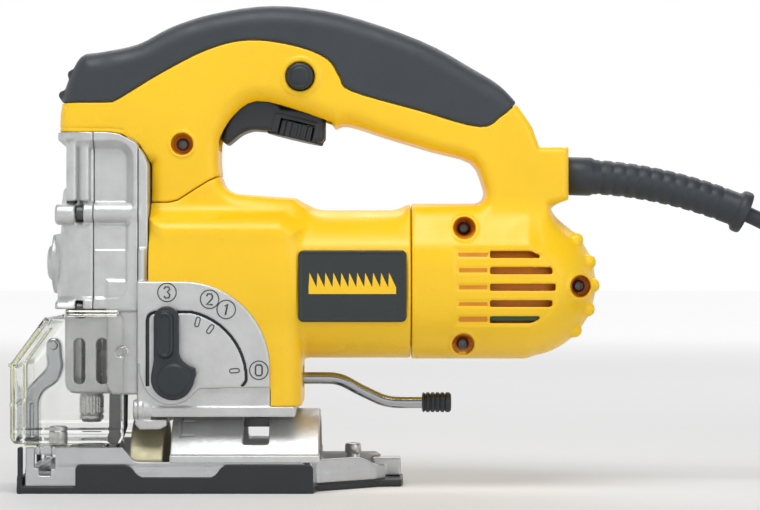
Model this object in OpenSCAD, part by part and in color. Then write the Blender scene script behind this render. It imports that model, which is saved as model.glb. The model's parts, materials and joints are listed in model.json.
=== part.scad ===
// Corded D-handle jigsaw with orbital action, bevelling shoe and tool-free blade clamp.
// X runs from the blade (front, -X) to the cord (rear, +X), Y across, Z up. Z = 0 is the sole.

/* [Motor] */
// Height of the motor axis above the sole
motor_z = 88.3; // [87:0.1:90]
// Radius of the barrel that holds the motor
barrel_r = 32; // [31.5:0.1:32.2]
// Half width of the barrel across its flat sides
barrel_half_w = 29.5; // [29.3:0.1:30]
// Length of the field and armature laminations
stack_len = 46; // [40:1:47]

/* [Handle] */
// Half width of the handle
handle_half_w = 18; // [17:0.5:19]
// Wall thickness of the plastic shells
wall = 2.6; // [2:0.1:3]
// Thickness of the soft grip over the shell
pad_t = 2; // [1.5:0.1:2.4]

/* [Gear case] */
// Half width of the gear case castings
case_half_w = 27; // [26.5:0.1:27.5]
// Half width of the rear casting that carries the stroke dial
dial_half_w = 31.5; // [31:0.1:31.8]
// Front-to-back place of the plunger axis
plunger_x = -3.5; // [-3.7:0.1:-3.3]
// Radius of the plunger rod
rod_r = 4.5; // [4:0.1:4.6]
// Full stroke of the plunger
stroke = 26; // [24:1:26]
// Teeth on the motor pinion
pinion_teeth = 8; // [8:1:8]
// Teeth on the crank gear
crank_teeth = 52; // [52:1:52]

/* [Shoe] */
// Half width of the metal shoe
shoe_half_w = 31.5; // [31:0.1:31.5]
// Thickness of the plastic sole under the shoe
sole_t = 3.2; // [3:0.1:3.2]
// Outer radius of the bevel arch
arch_r = 34.3; // [34:0.1:34.3]
// Largest bevel to either side
bevel_limit = 45; // [30:1:45]

/* [Cord] */
// Diameter of the mains cord
cord_d = 7; // [6.5:0.1:7]
// Across the middle of the coiled turns
coil_mean_d = 77; // [75:1:77]

/* [Hidden] */
$fn = 64;

big = 400;
gap = 0.3;

// Motor train
gear_module = 0.8;
centre_distance = gear_module * (pinion_teeth + crank_teeth) / 2;
crank_z = motor_z + centre_distance;
crank_r = stroke / 2;
rest_lift = 4;
yoke_z = crank_z - crank_r + rest_lift;
bearing_r = 11;
bearing_x = 17.5;
bearing_w = 7;
shaft_r = 4;
bore_r = 27.3;
stack_x = 57;

// Castings
cover_front_x = -16;
seam_x = 0;
case_back_x = 19.1;
bulkhead_x = 23.4;
barrel_end_x = 134.9;
nose_bottom_z = 41.8;
nose_half_w = 22;
flange_z = 32.1;
flange_top_z = 36.5;
dial_arc_r = 36.8;
boss_y = 23.4;
boss_r = 4.2;
boss_zs = [118.8, 77.9];

// Blade end
collar_r = 5.3;
collar_z = 29.5;
collar_h = 14;
roller_x = 6;
roller_z = 18.5;
roller_r = 4.5;
yoke_pivot = [8.5, 61];
lever_pivot = [-19.6, 61.8];
lever_half_w = 4.5;

// Stroke dial and levers
hub = [34.6, 48.2];
clamp_screw_x = 69;
clamp_slot_w = 12.7;
rod_z = 47.4;

// Trigger group
travel_tilt = 13.3;
dial_centre = [85.6, 154.3];
lock_centre = [87.6, 177.3];

// Handle screws: x, z, depth of the recess floor behind the outside face
screw_places = [[37.1, 148.4, 12], [157.8, 112.4, 12], [157.3, 62.9, 12], [207.4, 87.5, 9]];

// Curve through a list of points, n steps for each span
function curve(p, n = 4) = concat([for (i = [0:len(p) - 2], k = [0:n - 1])
    let (t = k / n, a = p[max(i - 1, 0)], b = p[i], c = p[i + 1], d = p[min(i + 2, len(p) - 1)])
    (2 * b + (c - a) * t + (2 * a - 5 * b + 4 * c - d) * t * t
        + (3 * b - a - 3 * c + d) * t * t * t) / 2], [p[len(p) - 1]]);
function reversed(p) = [for (i = [len(p) - 1:-1:0]) p[i]];
function shifted(p, v) = [for (q = p) q + v];
function arc(c, r, a0, a1, n = 8) = [for (i = [0:n]) let (a = a0 + (a1 - a0) * i / n)
    c + r * [cos(a), sin(a)]];

// Handle outline in the XZ plane
top_line = curve([[-14.8, 168], [-11.7, 177], [-6.5, 186.2], [2, 188], [17.8, 191.4],
    [32.2, 198.8], [50.5, 204.6], [76, 207.9], [104.8, 204.4], [139.2, 192.9], [161.8, 180.7],
    [173, 173.5], [180.3, 165.7]]);
grip_line = curve([[-14.8, 166.2], [4.4, 166.3], [10, 167.8], [27.1, 178.2], [47.7, 188.7],
    [65.7, 192.9], [85.4, 190.4], [99.1, 184.8], [104.5, 177], [109.4, 171.1], [138.9, 162.6],
    [164.4, 155.7], [173.6, 160.2], [179.9, 165.4]]);
rear_line = [[183.6, 160.9], [187.1, 155.7], [190.1, 147.2], [202.7, 147.2], [202.7, 124.6],
    [194.4, 122.2], [192, 112]];
grip_hole = concat([[163.7, 120.7]], curve([[166.3, 122.7], [167.2, 126], [166.3, 131.3],
    [161.2, 141.1], [144.9, 145.8], [124.8, 151.8], [108.1, 157], [102.5, 155.7]], 3));
trigger_line = curve([[100.8, 157.8], [85.4, 162.9], [69, 166.4], [59.3, 160.8], [53.3, 151.8],
    [52.5, 145]], 3);
saddle_line = curve([[52.5, 134.7], [47.8, 132.4], [42.3, 129], [35.3, 124.4], [31.5, 123.5]], 3);
case_corner = [[23.3, 123.5], [23.3, 139], [21.7, 143.3], [18.1, 148.7], [11, 152.6],
    [5.3, 153.4], [-16.2, 153.6]];
handle_outline = concat([[-15.7, 161.4]], top_line, rear_line, [[135.3, 112], [135.3, 120.7]],
    grip_hole, trigger_line, saddle_line, case_corner);
handle_cavity = [[-11, 157.5], [-8.5, 174], [-3, 183], [18, 187], [36, 196], [60, 202.5],
    [85, 203], [105, 199], [135, 189], [158, 177.5], [172, 167.5], [181, 154], [184, 146.5],
    [199.5, 143], [199.5, 128], [189, 122], [187, 112], [170, 112], [170.5, 132], [165, 142.5],
    [158, 146.5], [128, 154], [108, 160.3], [101, 162], [85, 168], [66, 170], [56, 163.5],
    [49.5, 150], [49.3, 136.5], [35, 128], [26.5, 127], [26, 142], [21, 151], [12, 156.5]];
trigger_slot = [[51.5, 146.5], [100.6, 147], [101, 160], [101, 182], [58, 182], [50.2, 160]];

module side(points, y0, y1) {
    translate([0, y1, 0]) rotate([90, 0, 0]) linear_extrude(y1 - y0) polygon(points);
}
module along_x(r, x0, x1, y = 0, z = 0) {
    translate([x0, y, z]) rotate([0, 90, 0]) cylinder(r = r, h = x1 - x0);
}
module along_y(r, y0, y1, x = 0, z = 0) {
    translate([x, y1, z]) rotate([90, 0, 0]) cylinder(r = r, h = y1 - y0);
}
module along_z(r, z0, z1, x = 0, y = 0) {
    translate([x, y, z0]) cylinder(r = r, h = z1 - z0);
}
module block(x, y, z) {
    translate([x[0], y[0], z[0]]) cube([x[1] - x[0], y[1] - y[0], z[1] - z[0]]);
}
module ring_x(r1, r0, x0, x1, y = 0, z = 0) {
    difference() {
        along_x(r1, x0, x1, y, z);
        along_x(r0, x0 - 1, x1 + 1, y, z);
    }
}
module wedge_x(half_angle, r, x0, x1) {
    rotate([90, 0, 90]) translate([0, 0, x0]) linear_extrude(x1 - x0)
        polygon([[0, 0], [r * sin(half_angle), r * cos(half_angle)],
            [-r * sin(half_angle), r * cos(half_angle)]]);
}
module barrel(r, half_w, x0, x1) {
    intersection() {
        along_x(r, x0, x1, 0, motor_z);
        block([x0, x1], [-half_w, half_w], [0, big]);
    }
}
// Turned shape about the motor axis, from points given as [x, radius]
module turned(points) {
    translate([0, 0, motor_z]) rotate([0, 90, 0]) rotate_extrude()
        polygon([for (p = points) [p[1], p[0]]]);
}

// ---- Handle and rear barrel, two halves that meet at Y = 0 ----
module rear_dome(inset) {
    turned([[135.3 + inset, 0], [135.3 + inset, barrel_r + 0.4 - inset],
        [184, barrel_r + 0.4 - inset], [193.6, 30.8 - inset], [204.9 - inset * 0.5, 24.5 - inset],
        [212 - inset, 16 - inset * 0.7], [216.6 - inset, 7], [216.6 - inset, 0]]);
}
module handle_solid() {
    side(handle_outline, -handle_half_w, handle_half_w);
    intersection() {
        rear_dome(0);
        block([100, 240], [-barrel_half_w - 0.4, barrel_half_w + 0.4], [0, 200]);
    }
}
module pad_region() {
    side(concat(top_line, reversed(grip_line)), -handle_half_w - 1, handle_half_w + 1);
}
module pad_core() {
    side(concat(shifted(top_line, [0, -pad_t]), reversed(shifted(grip_line, [0, -pad_t]))),
        -handle_half_w + pad_t, handle_half_w - pad_t);
}
module vents(y0, y1) {
    for (i = [0:4]) {
        z = [101.5, 94.6, 87.7, 80.8, 74][i];
        x1 = [188, 193, 194.5, 193, 188][i];
        block([168.7, x1], [y0, y1], [z - 1.4, z + 1.4]);
    }
}
module handle_half(s) {
    difference() {
        intersection() {
            difference() {
                handle_solid();
                difference() {
                    pad_region();
                    pad_core();
                }
                side(handle_cavity, -handle_half_w + wall, handle_half_w - wall);
                intersection() {
                    rear_dome(wall);
                    block([100, 240], [-barrel_half_w - 0.4 + wall, barrel_half_w + 0.4 - wall],
                        [0, 200]);
                }
                block([130, 165], [-20, 20], [100, 115]);
                along_x(bore_r - 1.6, 130, 140, 0, motor_z);
                side(trigger_slot, -13.2, 13.2);
                along_x(cord_d / 2 + 0.5, 190, 210, 0, 135.2);
                along_z(rod_r + 0.9, 150, 158, plunger_x);
                along_y(6.1, -30, -8, lock_centre[0], lock_centre[1]);
                vents(-40, 40);
            }
            block([-50, 250], s < 0 ? [-40, 0] : [0, 40], [0, 250]);
        }
        for (p = screw_places) along_y(4.6, s < 0 ? -40 : 0, s < 0 ? 0 : 40, p[0], p[1]);
    }
    for (p = screw_places) handle_boss(s, p);
}
module handle_boss(s, p) {
    outside = p[0] > 200 ? 17.5 : p[0] > 100 ? 21.5 : handle_half_w;
    difference() {
        along_y(4.6, s < 0 ? -outside : 0, s < 0 ? 0 : outside, p[0], p[1]);
        if (s < 0) {
            along_y(1.6, -40, 1, p[0], p[1]);
            along_y(3.4, -40, -p[2], p[0], p[1]);
        } else
            along_y(1.4, -1, 9, p[0], p[1]);
    }
}
module handle_shell_left() { color("gold") handle_half(-1); }
module handle_shell_right() { color("gold") handle_half(1); }
module grip_pad(s) {
    color("darkslategray") difference() {
        intersection() {
            handle_solid();
            pad_region();
            block([-50, 250], s < 0 ? [-40, 0] : [0, 40], [0, 250]);
        }
        pad_core();
        side(handle_cavity, -handle_half_w + wall, handle_half_w - wall);
    }
}
module grip_pad_left() { grip_pad(-1); }
module grip_pad_right() { grip_pad(1); }
module handle_screws() {
    color("dimgray") for (p = screw_places) {
        along_y(1.35, -p[2], 8, p[0], p[1]);
        difference() {
            along_y(2.7, -p[2] - 2.2, -p[2], p[0], p[1]);
            along_y(1.2, -p[2] - 3, -p[2] - 0.8, p[0], p[1]);
        }
    }
}

// ---- Motor housing: front barrel, saddle under the handle and skirt over the bevel clamp ----
module motor_housing() {
    saddle_top = concat(saddle_line, [[bulkhead_x + 0.1, 123.3], [bulkhead_x + 0.1, 100], [88.7, 100],
        [88.7, 120.9], [85.3, 124.8], [60.9, 127], [57, 127.9], [53.1, 131.8]]);
    color("gold") difference() {
        union() {
            barrel(barrel_r, barrel_half_w, bulkhead_x + 0.1, barrel_end_x);
            side(shifted(saddle_top, [0, -0.2]), -handle_half_w, handle_half_w);
            block([75.4, 88], [-barrel_half_w, barrel_half_w], [36.6, 70]);
        }
        barrel(bore_r, bore_r, bulkhead_x - 1, barrel_end_x + 1);
        along_x(bearing_r + 0.5, 20, 25.5, 0, crank_z);
        block([70, 85.6], [-barrel_half_w + wall, barrel_half_w - wall], [30, 56]);
        block([80, 90], [-4.5, 19], [43, 52.2]);
        along_z(4, 110, 140, 40);
    }
}
module label_plates() {
    plate = concat(arc([89.4, 74.8], 2.3, 180, 270, 4), arc([130.8, 74.8], 2.3, 270, 360, 4),
        arc([130.8, 100.6], 2.3, 0, 90, 4), arc([89.4, 100.6], 2.3, 90, 180, 4));
    color("black") for (s = [-1, 1])
        side(plate, s < 0 ? -barrel_half_w - 0.8 : barrel_half_w,
            s < 0 ? -barrel_half_w : barrel_half_w + 0.8);
}

// ---- Gear case castings ----
plan_front = concat([[seam_x, -26]], curve([[-5, -25.8], [-11, -23], [-15.5, -16], [-19.2, -7],
    [-20, 0], [-19.2, 7], [-15.5, 16], [-11, 23], [-5, 25.8]], 3), [[seam_x, 26]]);
cover_line = concat([[seam_x, 150], [cover_front_x, 150], [-11, 146.2], [-12, 131]],
    curve([[-14.4, 128.8], [-17.8, 111.4], [-18.9, 98], [-16.1, 78]], 4), [[seam_x, 78]]);
module bushing_bores() {
    along_z(rod_r + 3.1, 134.4, 140.6, plunger_x);
    along_z(rod_r + 3.1, 67.4, 76.6, plunger_x);
    along_z(rod_r + 0.8, 40, 170, plunger_x);
}
module screw_bosses(x0, x1, r) {
    for (s = [-1, 1], z = boss_zs) along_x(r, x0, x1, s * boss_y, z);
}
module gear_case_cover() {
    color("silver") difference() {
        union() {
            intersection() {
                side(cover_line, -case_half_w, case_half_w);
                linear_extrude(big) polygon(plan_front);
            }
            intersection() {
                block([cover_front_x, seam_x], [-28, 28], [150, 153.3]);
                linear_extrude(big) translate([3, 0]) polygon(plan_front * 1.07);
            }
            along_x(8, -22.2, -14, 0, 97.6);
            screw_bosses(-4.4, seam_x, boss_r);
        }
        block([-12.8, -8.3], [-17.6, 17.6], [80.5, 131.5]);
        block([-8.5, 1], [-21, 21], [80.5, 133.6]);
        bushing_bores();
        screw_bosses(-10, 1, 1.7);
        screw_bosses(-20, -4.4, 3.4);
        for (s = [-1, 1]) along_x(2, -15, -12, s * 12, 108);
    }
}
module case_profile(x0, x1, half_w) {
    intersection() {
        side([[seam_x, nose_bottom_z - 0.3], [23.2, nose_bottom_z - 0.3], [23.2, 138.8],
            [21.5, 143], [17.9, 148.4], [10.9, 152.3], [5.3, 153.2], [seam_x, 153.3]],
            -half_w, half_w);
        block([x0, x1], [-half_w, half_w], [0, big]);
    }
}
module gear_case() {
    color("silver") difference() {
        union() {
            difference() {
                case_profile(seam_x, case_back_x, case_half_w);
                for (s = [-1, 1]) side([[-1, nose_bottom_z - 1], [-1, 77.9], [10, 77.9],
                    [10, nose_bottom_z - 1]], s < 0 ? -40 : nose_half_w, s < 0 ? -nose_half_w : 40);
            }
            side([[-12.6, 46.5], [-11.4, 43.2], [-8, nose_bottom_z], [6, nose_bottom_z], [6, 77.8],
                [-12.6, 77.8]], -nose_half_w, nose_half_w);
            for (s = [-1, 1]) block([lever_pivot[0] - 3, -12], s < 0 ? [-7.5, -5] : [5, 7.5],
                [lever_pivot[1] - 3.4, lever_pivot[1] + 3.4]);
            screw_bosses(seam_x, case_back_x, boss_r);
            for (s = [-1, 1]) along_x(5, 14.5, case_back_x, s * 26, 34.8);
            for (s = [-1, 1]) block([14.5, case_back_x], s < 0 ? [-30, -24] : [24, 30], [36, 45]);
        }
        block([-10, 14.4], [-19.4, 19.4], [nose_bottom_z + 2.5, 66.4]);
        block([-10, 14], [-7, 7], [nose_bottom_z - 2, 60]);
        for (x = [-8.9, 0.6]) hull() for (z = [48.2, 63])
            translate([x + 2.4, 0, z]) rotate([90, 0, 0]) cylinder(r = 2.4, h = 60, center = true);
        block([-1, 15.5], [-22.6, 22.6], [80.5, 134.2]);
        along_x(bearing_r + 0.02, 10, 30, 0, motor_z);
        along_x(bearing_r + 0.02, 10, 30, 0, crank_z);
        bushing_bores();
        screw_bosses(-1, 30, 1.4);
        for (s = [-1, 1]) along_x(boss_r + 0.1, -20, 0, s * boss_y, boss_zs[1]);
        along_y(2, -20.6, 20.6, yoke_pivot[0], yoke_pivot[1]);
        along_y(1.6, -9, 9, lever_pivot[0], lever_pivot[1]);
    }
}
module dial_face(y0, y1) {
    side(concat([[case_back_x, 36.5], [75.3, 36.5]],
        arc([38.5, 53], dial_arc_r, 0, 90, 10), [[case_back_x, 53 + dial_arc_r]]), y0, y1);
}
module gear_case_back() {
    color("silver") difference() {
        union() {
            case_profile(case_back_x, bulkhead_x, case_half_w);
            difference() {
                dial_face(-dial_half_w, dial_half_w);
                barrel(barrel_r + 0.1, barrel_half_w + 0.1, bulkhead_x, barrel_end_x);
            }
            block([25.2, 85.9], [-30, 30], [flange_z, flange_top_z]);
            for (s = [-1, 1]) along_x(5, case_back_x, 25, s * 26, 34.8);
        }
        along_x(arch_r + gap, 20, 100);
        along_x(bearing_r + 0.02, 10, 30, 0, motor_z);
        along_x(bearing_r + 0.02, 10, 30, 0, crank_z);
        screw_bosses(10, 22, 1.4);
        along_y(3.05, -40, -8, hub[0], hub[1]);
        block([56, 80], [-10.5, 10.5], [flange_top_z + 4.5, 53.5]);
        block([72, 80], [-10.5, 22], [flange_top_z + 4.5, 53.5]);
        along_z(3.1, 20, 60, clamp_screw_x);
        for (s = [-1, 1]) side(concat([[24, 44.8]], [[24, 76]], arc([36, 48.2], 29, 92, 6, 8),
            [[64.8, 44.8]]), s < 0 ? -dial_half_w - 1 : dial_half_w - 0.8,
            s < 0 ? -dial_half_w + 0.8 : dial_half_w + 1);
    }
}
module cover_screws() {
    color("dimgray") for (s = [-1, 1], z = boss_zs) {
        along_x(1.35, -4.4, 20, s * boss_y, z);
        difference() {
            along_x(3.1, -7.4, -4.4, s * boss_y, z);
            along_x(1.6, -8, -5.8, s * boss_y, z);
        }
    }
}

// ---- Orbital action lever on the near side ----
module orbital_lever() {
    color("darkslategray") difference() {
        union() {
            along_y(8.35, -36.5, -dial_half_w - 0.3, hub[0], hub[1]);
            side(concat(arc([31.9, 74], 5.2, 0, 180, 8), [[26.7, 48.2], [37.1, 48.2]]),
                -36.5, -dial_half_w - 0.3);
            side([[38, 54.5], [45, 52.3], [45, 50.2], [38, 44.5]], -34.5, -dial_half_w - 0.3);
        }
        along_y(2.6, -34, -30, hub[0], hub[1]);
    }
}
module orbital_shaft() {
    color("slategray") difference() {
        along_y(2.6, -34, -14, hub[0], hub[1]);
        block([hub[0] - 5, hub[0] + 5], [-18, -13], [hub[1], hub[1] + 5]);
    }
}

// ---- Trigger, switch, speed dial and lock button ----
module trigger() {
    outline = concat([[53.2, 150.4], [56.1, 148.5]], curve([[58, 150], [61.9, 153.1], [66.6, 154.8],
        [76.5, 154.1], [81.7, 152.4], [93.8, 149.4]], 3), [[96.8, 149.4], [98.1, 151.3], [98.3, 163],
        [92, 164.6], [79.5, 165], [76, 171], [72, 172], [62, 169], [54.2, 158]]);
    color("darkslategray") difference() {
        side(outline, -10.5, 10.5);
        dial_place() along_z(12.5 + 0.6, -4, 4);
        dial_place() along_z(1.5, -1, 10);
        translate([72, 0, 163]) rotate([0, travel_tilt, 0]) cylinder(r = 3.6, h = 20);
    }
}
module dial_place() {
    translate([dial_centre[0], 0, dial_centre[1]]) rotate([0, travel_tilt, 0]) children();
}
module speed_dial() {
    color("dimgray") dial_place() difference() {
        union() {
            along_z(12.5, -3.4, 3.4);
            along_z(1.3, 3.4, 8);
        }
        for (a = [0:15:345]) rotate(a) translate([12.9, 0, -4]) cylinder(r = 0.9, h = 8, $fn = 16);
    }
}
module trigger_spring() {
    color("silver") translate([72, 0, 163.6]) rotate([0, travel_tilt, 0]) for (i = [0:4])
        translate([0, 0, 1 + i * 4]) rotate_extrude($fn = 32) translate([2.6, 0]) circle(r = 0.45, $fn = 16);
}
module switch_module() {
    color("dimgray") difference() {
        union() {
            block([60, 80], [-15.2, 15.2], [181.5, 196]);
            block([79, 95], [4.4, 5.8], [178.5, 190]);
        }
        along_z(1.2, 190, 200, 64);
    }
}
module speed_module() {
    color("darkgreen") {
        block([163, 190], [-24.8, 24.8], [73, 75]);
        block([166, 174], [-9, 3], [75, 90]);
        along_z(5, 75, 92, 184);
    }
}
module lock_button() {
    color("darkslategray") difference() {
        along_y(5.75, -20, -11.5, lock_centre[0], lock_centre[1]);
        along_y(2.5, -15, -10, lock_centre[0], lock_centre[1]);
    }
}
module lock_spring() {
    color("silver") translate([lock_centre[0], -14.9, lock_centre[1]]) rotate([-90, 0, 0])
        for (i = [0:3]) translate([0, 0, 1 + i * 2.5]) rotate_extrude($fn = 32)
            translate([1.7, 0]) circle(r = 0.35, $fn = 16);
}

// ---- Blade release lever in front of the gear case ----
module blade_lever() {
    color("gainsboro") difference() {
        side(concat(arc(lever_pivot, 3.3, 170, 10, 6), curve([[-15.9, 56], [-15.6, 52], [-18, 46],
            [-24, 41.5], [-26, 37]], 3), [[-26, 21.4], [-32, 21.4]], curve([[-32, 38], [-31, 43],
            [-26.5, 48], [-22.8, 52.4], [-22.9, 58]], 3)), -lever_half_w, lever_half_w);
        along_y(1.65, -9, 9, lever_pivot[0], lever_pivot[1]);
    }
}
module blade_lever_tip() {
    color("black") block([-32.2, -25.8], [-lever_half_w - 0.2, lever_half_w + 0.2], [18.4, 21.4]);
}
module blade_lever_pin() {
    color("silver") along_y(1.6, -7.5, 7.5, lever_pivot[0], lever_pivot[1]);
}

// ---- Bevel clamp: lever, cap and screw through the arch slot ----
rod_path = [[clamp_screw_x, rod_z], [101, rod_z], [104, 46.6], [124, 37.6], [127.5, 36.9], [140, 36.9]];
module bevel_lever() {
    color("gainsboro") {
        difference() {
            along_z(8, 42.3, 52.3, clamp_screw_x);
            along_z(3, 40, 54, clamp_screw_x);
        }
        difference() {
            for (i = [0:len(rod_path) - 2]) rod_piece(rod_path[i], rod_path[i + 1]);
            along_z(7, 40, 54, clamp_screw_x);
        }
    }
}
module rod_piece(a, b) {
    d = b - a;
    translate([a[0], 0, a[1]]) rotate([0, 90 - atan2(d[1], d[0]), 0]) cylinder(r = 2.6, h = norm(d));
    if (b[0] < 139) translate([b[0], 0, b[1]]) sphere(r = 2.8);
}
module bevel_lever_cap() {
    color("black") difference() {
        along_x(4.4, 140, 152.7, 0, 36.9);
        for (x = [142:2.2:150]) ring_x(5, 3.9, x, x + 0.7, 0, 36.9);
        along_x(2.61, 139, 142.6, 0, 36.9);
    }
}
module bevel_screw() {
    color("dimgray") {
        along_z(2.95, 27.2, 53.2, clamp_screw_x);
        intersection() {
            ring_x(arch_r - 3.3, arch_r - 7, clamp_screw_x - 9, clamp_screw_x + 9);
            block([0, 200], [-6, 6], [0, 60]);
        }
    }
}

// ---- Motor ----
module gear_blank(teeth, turn, x0, x1, z) {
    pitch_r = gear_module * teeth / 2;
    step = 360 / teeth;
    translate([x0, 0, z]) rotate([90, 0, 90]) linear_extrude(x1 - x0)
        polygon([for (i = [0:teeth - 1], k = [0:3])
            let (a = turn + step * (i + [-0.24, -0.1, 0.1, 0.24][k]),
                r = pitch_r + ([-1, 0.62, 0.62, -1] * gear_module)[k])
            r * [cos(a), sin(a)]]);
}
module armature_shaft() {
    color("silver") {
        gear_blank(pinion_teeth, 90, 7.5, 15, motor_z);
        along_x(3, 15, 16.5, 0, motor_z);
        along_x(shaft_r, 16.5, 142.5, 0, motor_z);
    }
}
module armature_stack() {
    color("slategray") difference() {
        along_x(16.4, stack_x, stack_x + stack_len, 0, motor_z);
        along_x(shaft_r, 0, 200, 0, motor_z);
        for (a = [0:30:330]) translate([0, 0, motor_z]) rotate([a, 0, 0])
            block([stack_x - 1, stack_x + stack_len + 1], [-0.9, 0.9], [14.5, 18]);
    }
}
module armature_windings() {
    color("peru") {
        ring_x(14.6, shaft_r, stack_x - 9, stack_x, 0, motor_z);
        ring_x(14.6, shaft_r, stack_x + stack_len, stack_x + stack_len + 7.5, 0, motor_z);
    }
}
module commutator() {
    color("peru") difference() {
        along_x(11, 112, 127, 0, motor_z);
        along_x(shaft_r, 100, 130, 0, motor_z);
        for (a = [0:15:345]) translate([0, 0, motor_z]) rotate([a, 0, 0])
            block([111, 125], [-0.25, 0.25], [10.2, 12]);
    }
}
module fan() {
    color("dimgray") {
        ring_x(8, shaft_r, 28, 42, 0, motor_z);
        ring_x(24.5, 8, 28, 30, 0, motor_z);
        for (a = [0:24:336]) translate([0, 0, motor_z]) rotate([a, 0, 0])
            block([30, 41], [-0.7, 0.7], [7.9, 24]);
    }
}
module bearing(x, z) {
    ring_x(bearing_r, 8.4, x, x + bearing_w, 0, z);
    ring_x(6.2, shaft_r + 0.04, x, x + bearing_w, 0, z);
    ring_x(8.4, 6.2, x + 0.8, x + bearing_w - 0.8, 0, z);
}
module ball_bearings() {
    color("silver") {
        for (x = [bearing_x, 135]) bearing(x, motor_z);
        bearing(bearing_x, crank_z);
    }
}
module field_stack() {
    color("slategray") difference() {
        along_x(bore_r - 0.05, stack_x, stack_x + stack_len, 0, motor_z);
        along_x(17, 0, 200, 0, motor_z);
        for (s = [-1, 1]) block([stack_x - 1, stack_x + stack_len + 1], [-12, 12],
            s < 0 ? [motor_z - 23.5, motor_z - 14] : [motor_z + 14, motor_z + 23.5]);
    }
}
module field_coils() {
    color("peru") for (x = [[stack_x - 9.5, stack_x], [stack_x + stack_len, stack_x + stack_len + 7.5]],
        s = [-1, 1]) intersection() {
        ring_x(25.5, 17.5, x[0], x[1], 0, motor_z);
        block([0, 200], [-20, 20], s < 0 ? [0, motor_z - 3] : [motor_z + 3, 200]);
    }
}
module brush_bridge() {
    color("dimgray") difference() {
        union() {
            ring_x(bore_r - 0.05, 13.5, 112, 132, 0, motor_z);
            ring_x(14.5, bearing_r + 0.01, 131, 143, 0, motor_z);
            ring_x(bore_r - 0.05, 13.5, 130, 133, 0, motor_z);
        }
        ring_x(24.5, 16, 111, 128, 0, motor_z);
        for (s = [-1, 1]) translate([0, 0, motor_z]) rotate([90 * s, 0, 0])
            block([115.8, 122.2], [-3.3, 3.3], [8, 25]);
    }
    color("dimgray") for (s = [-1, 1]) translate([0, 0, motor_z]) rotate([90 * s, 0, 0]) difference() {
        block([114.3, 123.7], [-4.8, 4.8], [12, 25.9]);
        block([115.8, 122.2], [-3.3, 3.3], [8, 25]);
        along_x(13.5, 110, 130);
        difference() {
            along_x(40, 110, 130);
            along_x(24.5, 109, 131);
        }
        ring_x(16, 13.4, 110, 130);
    }
}
module brush_part(r0, r1, half) {
    for (s = [-1, 1]) translate([0, 0, motor_z]) rotate([90 * s, 0, 0])
        block([119 - half, 119 + half], [-half, half], [r0, r1]);
}
module brushes() { color("black") brush_part(11.3, 18.5, 3.1); }
module brush_springs() {
    color("silver") for (s = [-1, 1]) translate([119, 0, motor_z]) rotate([90 * s, 0, 0])
        for (i = [0:2]) translate([0, 0, 19.1 + i * 1.9]) rotate_extrude($fn = 24)
            translate([2.2, 0]) circle(r = 0.35, $fn = 16);
}
module fan_baffle() { color("dimgray") ring_x(bore_r - 0.05, 17, 43, 45, 0, motor_z); }

// ---- Crank, plunger and counterweight ----
module crank_gear() {
    pin_angle = asin((yoke_z - crank_z) / crank_r);
    color("silver") difference() {
        union() {
            gear_blank(crank_teeth, -90 + 180 / crank_teeth, 8.5, 13.5, crank_z);
            along_x(7, 13.5, 15.2, 0, crank_z);
            along_x(shaft_r, 15.2, 24.6, 0, crank_z);
            along_x(2.5, 5.3, 8.5, crank_r * cos(pin_angle), crank_z + crank_r * sin(pin_angle));
        }
        for (a = [60, 120, 180, 240]) along_x(3, 8, 14,
            13 * cos(a + pin_angle), crank_z + 13 * sin(a + pin_angle));
    }
}
module plunger() {
    color("silver") difference() {
        union() {
            along_z(rod_r, collar_z + collar_h, 145, plunger_x);
            block([plunger_x, 5], [-4.4, 4.4], [yoke_z - 7, yoke_z + 7]);
            block([1.2, 5], [-20.3, 20.3], [yoke_z - 7, yoke_z + 7]);
        }
        block([1.3, 6], [-16, 16], [yoke_z - 2.8, yoke_z + 2.8]);
    }
}
module plunger_bushings() {
    color("darkgoldenrod") for (z = [[134.6, 140.4], [67.6, 76.4]]) difference() {
        along_z(rod_r + 3, z[0], z[1], plunger_x);
        along_z(rod_r + 0.06, 0, 200, plunger_x);
    }
}
module counterweight() {
    color("slategray") difference() {
        block([-12.4, -8.7], [-17, 17], [97, 125]);
        for (s = [-1, 1]) block([-14, -7], [s * 12 - 2.4, s * 12 + 2.4], [102.5, 124]);
    }
}
module counterweight_pins() {
    color("silver") for (s = [-1, 1]) along_x(1.98, -14.5, -8.6, s * 12, 108);
}
module blade_clamp() {
    color("slategray") difference() {
        along_z(4.3, collar_z - 1, collar_z + collar_h, plunger_x);
        block([plunger_x - 4, plunger_x + 4], [-0.8, 0.8], [collar_z - 2, collar_z + 11]);
    }
}
module clamp_collar() {
    color("silver") difference() {
        along_z(collar_r, collar_z, collar_z + collar_h - 0.3, plunger_x);
        along_z(4.4, 0, 60, plunger_x);
        for (z = [collar_z + 3 : 2 : collar_z + 9]) difference() {
            along_z(6, z, z + 0.8, plunger_x);
            along_z(4.95, z - 1, z + 2, plunger_x);
        }
    }
}
module roller_yoke() {
    arm = concat([[roller_x - 2.6, roller_z], [4.5, 26], [4.9, 57]], arc(yoke_pivot, 4, 180, 0, 8),
        [[12, 57], [11.6, 26]], [[roller_x + 3, roller_z]], arc([roller_x, roller_z], 3, 0, -180, 6));
    color("slategray") difference() {
        union() {
            for (s = [-1, 1]) side(arm, s < 0 ? -5.3 : 3.5, s < 0 ? -3.5 : 5.3);
            side([[7, 28], [11, 28], [11, 56], [7, 56]], -3.6, 3.6);
        }
        along_y(2.1, -9, 9, yoke_pivot[0], yoke_pivot[1]);
        along_y(1.5, -9, 9, roller_x, roller_z);
    }
}
module yoke_pin() { color("silver") along_y(1.98, -20.5, 20.5, yoke_pivot[0], yoke_pivot[1]); }
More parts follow.
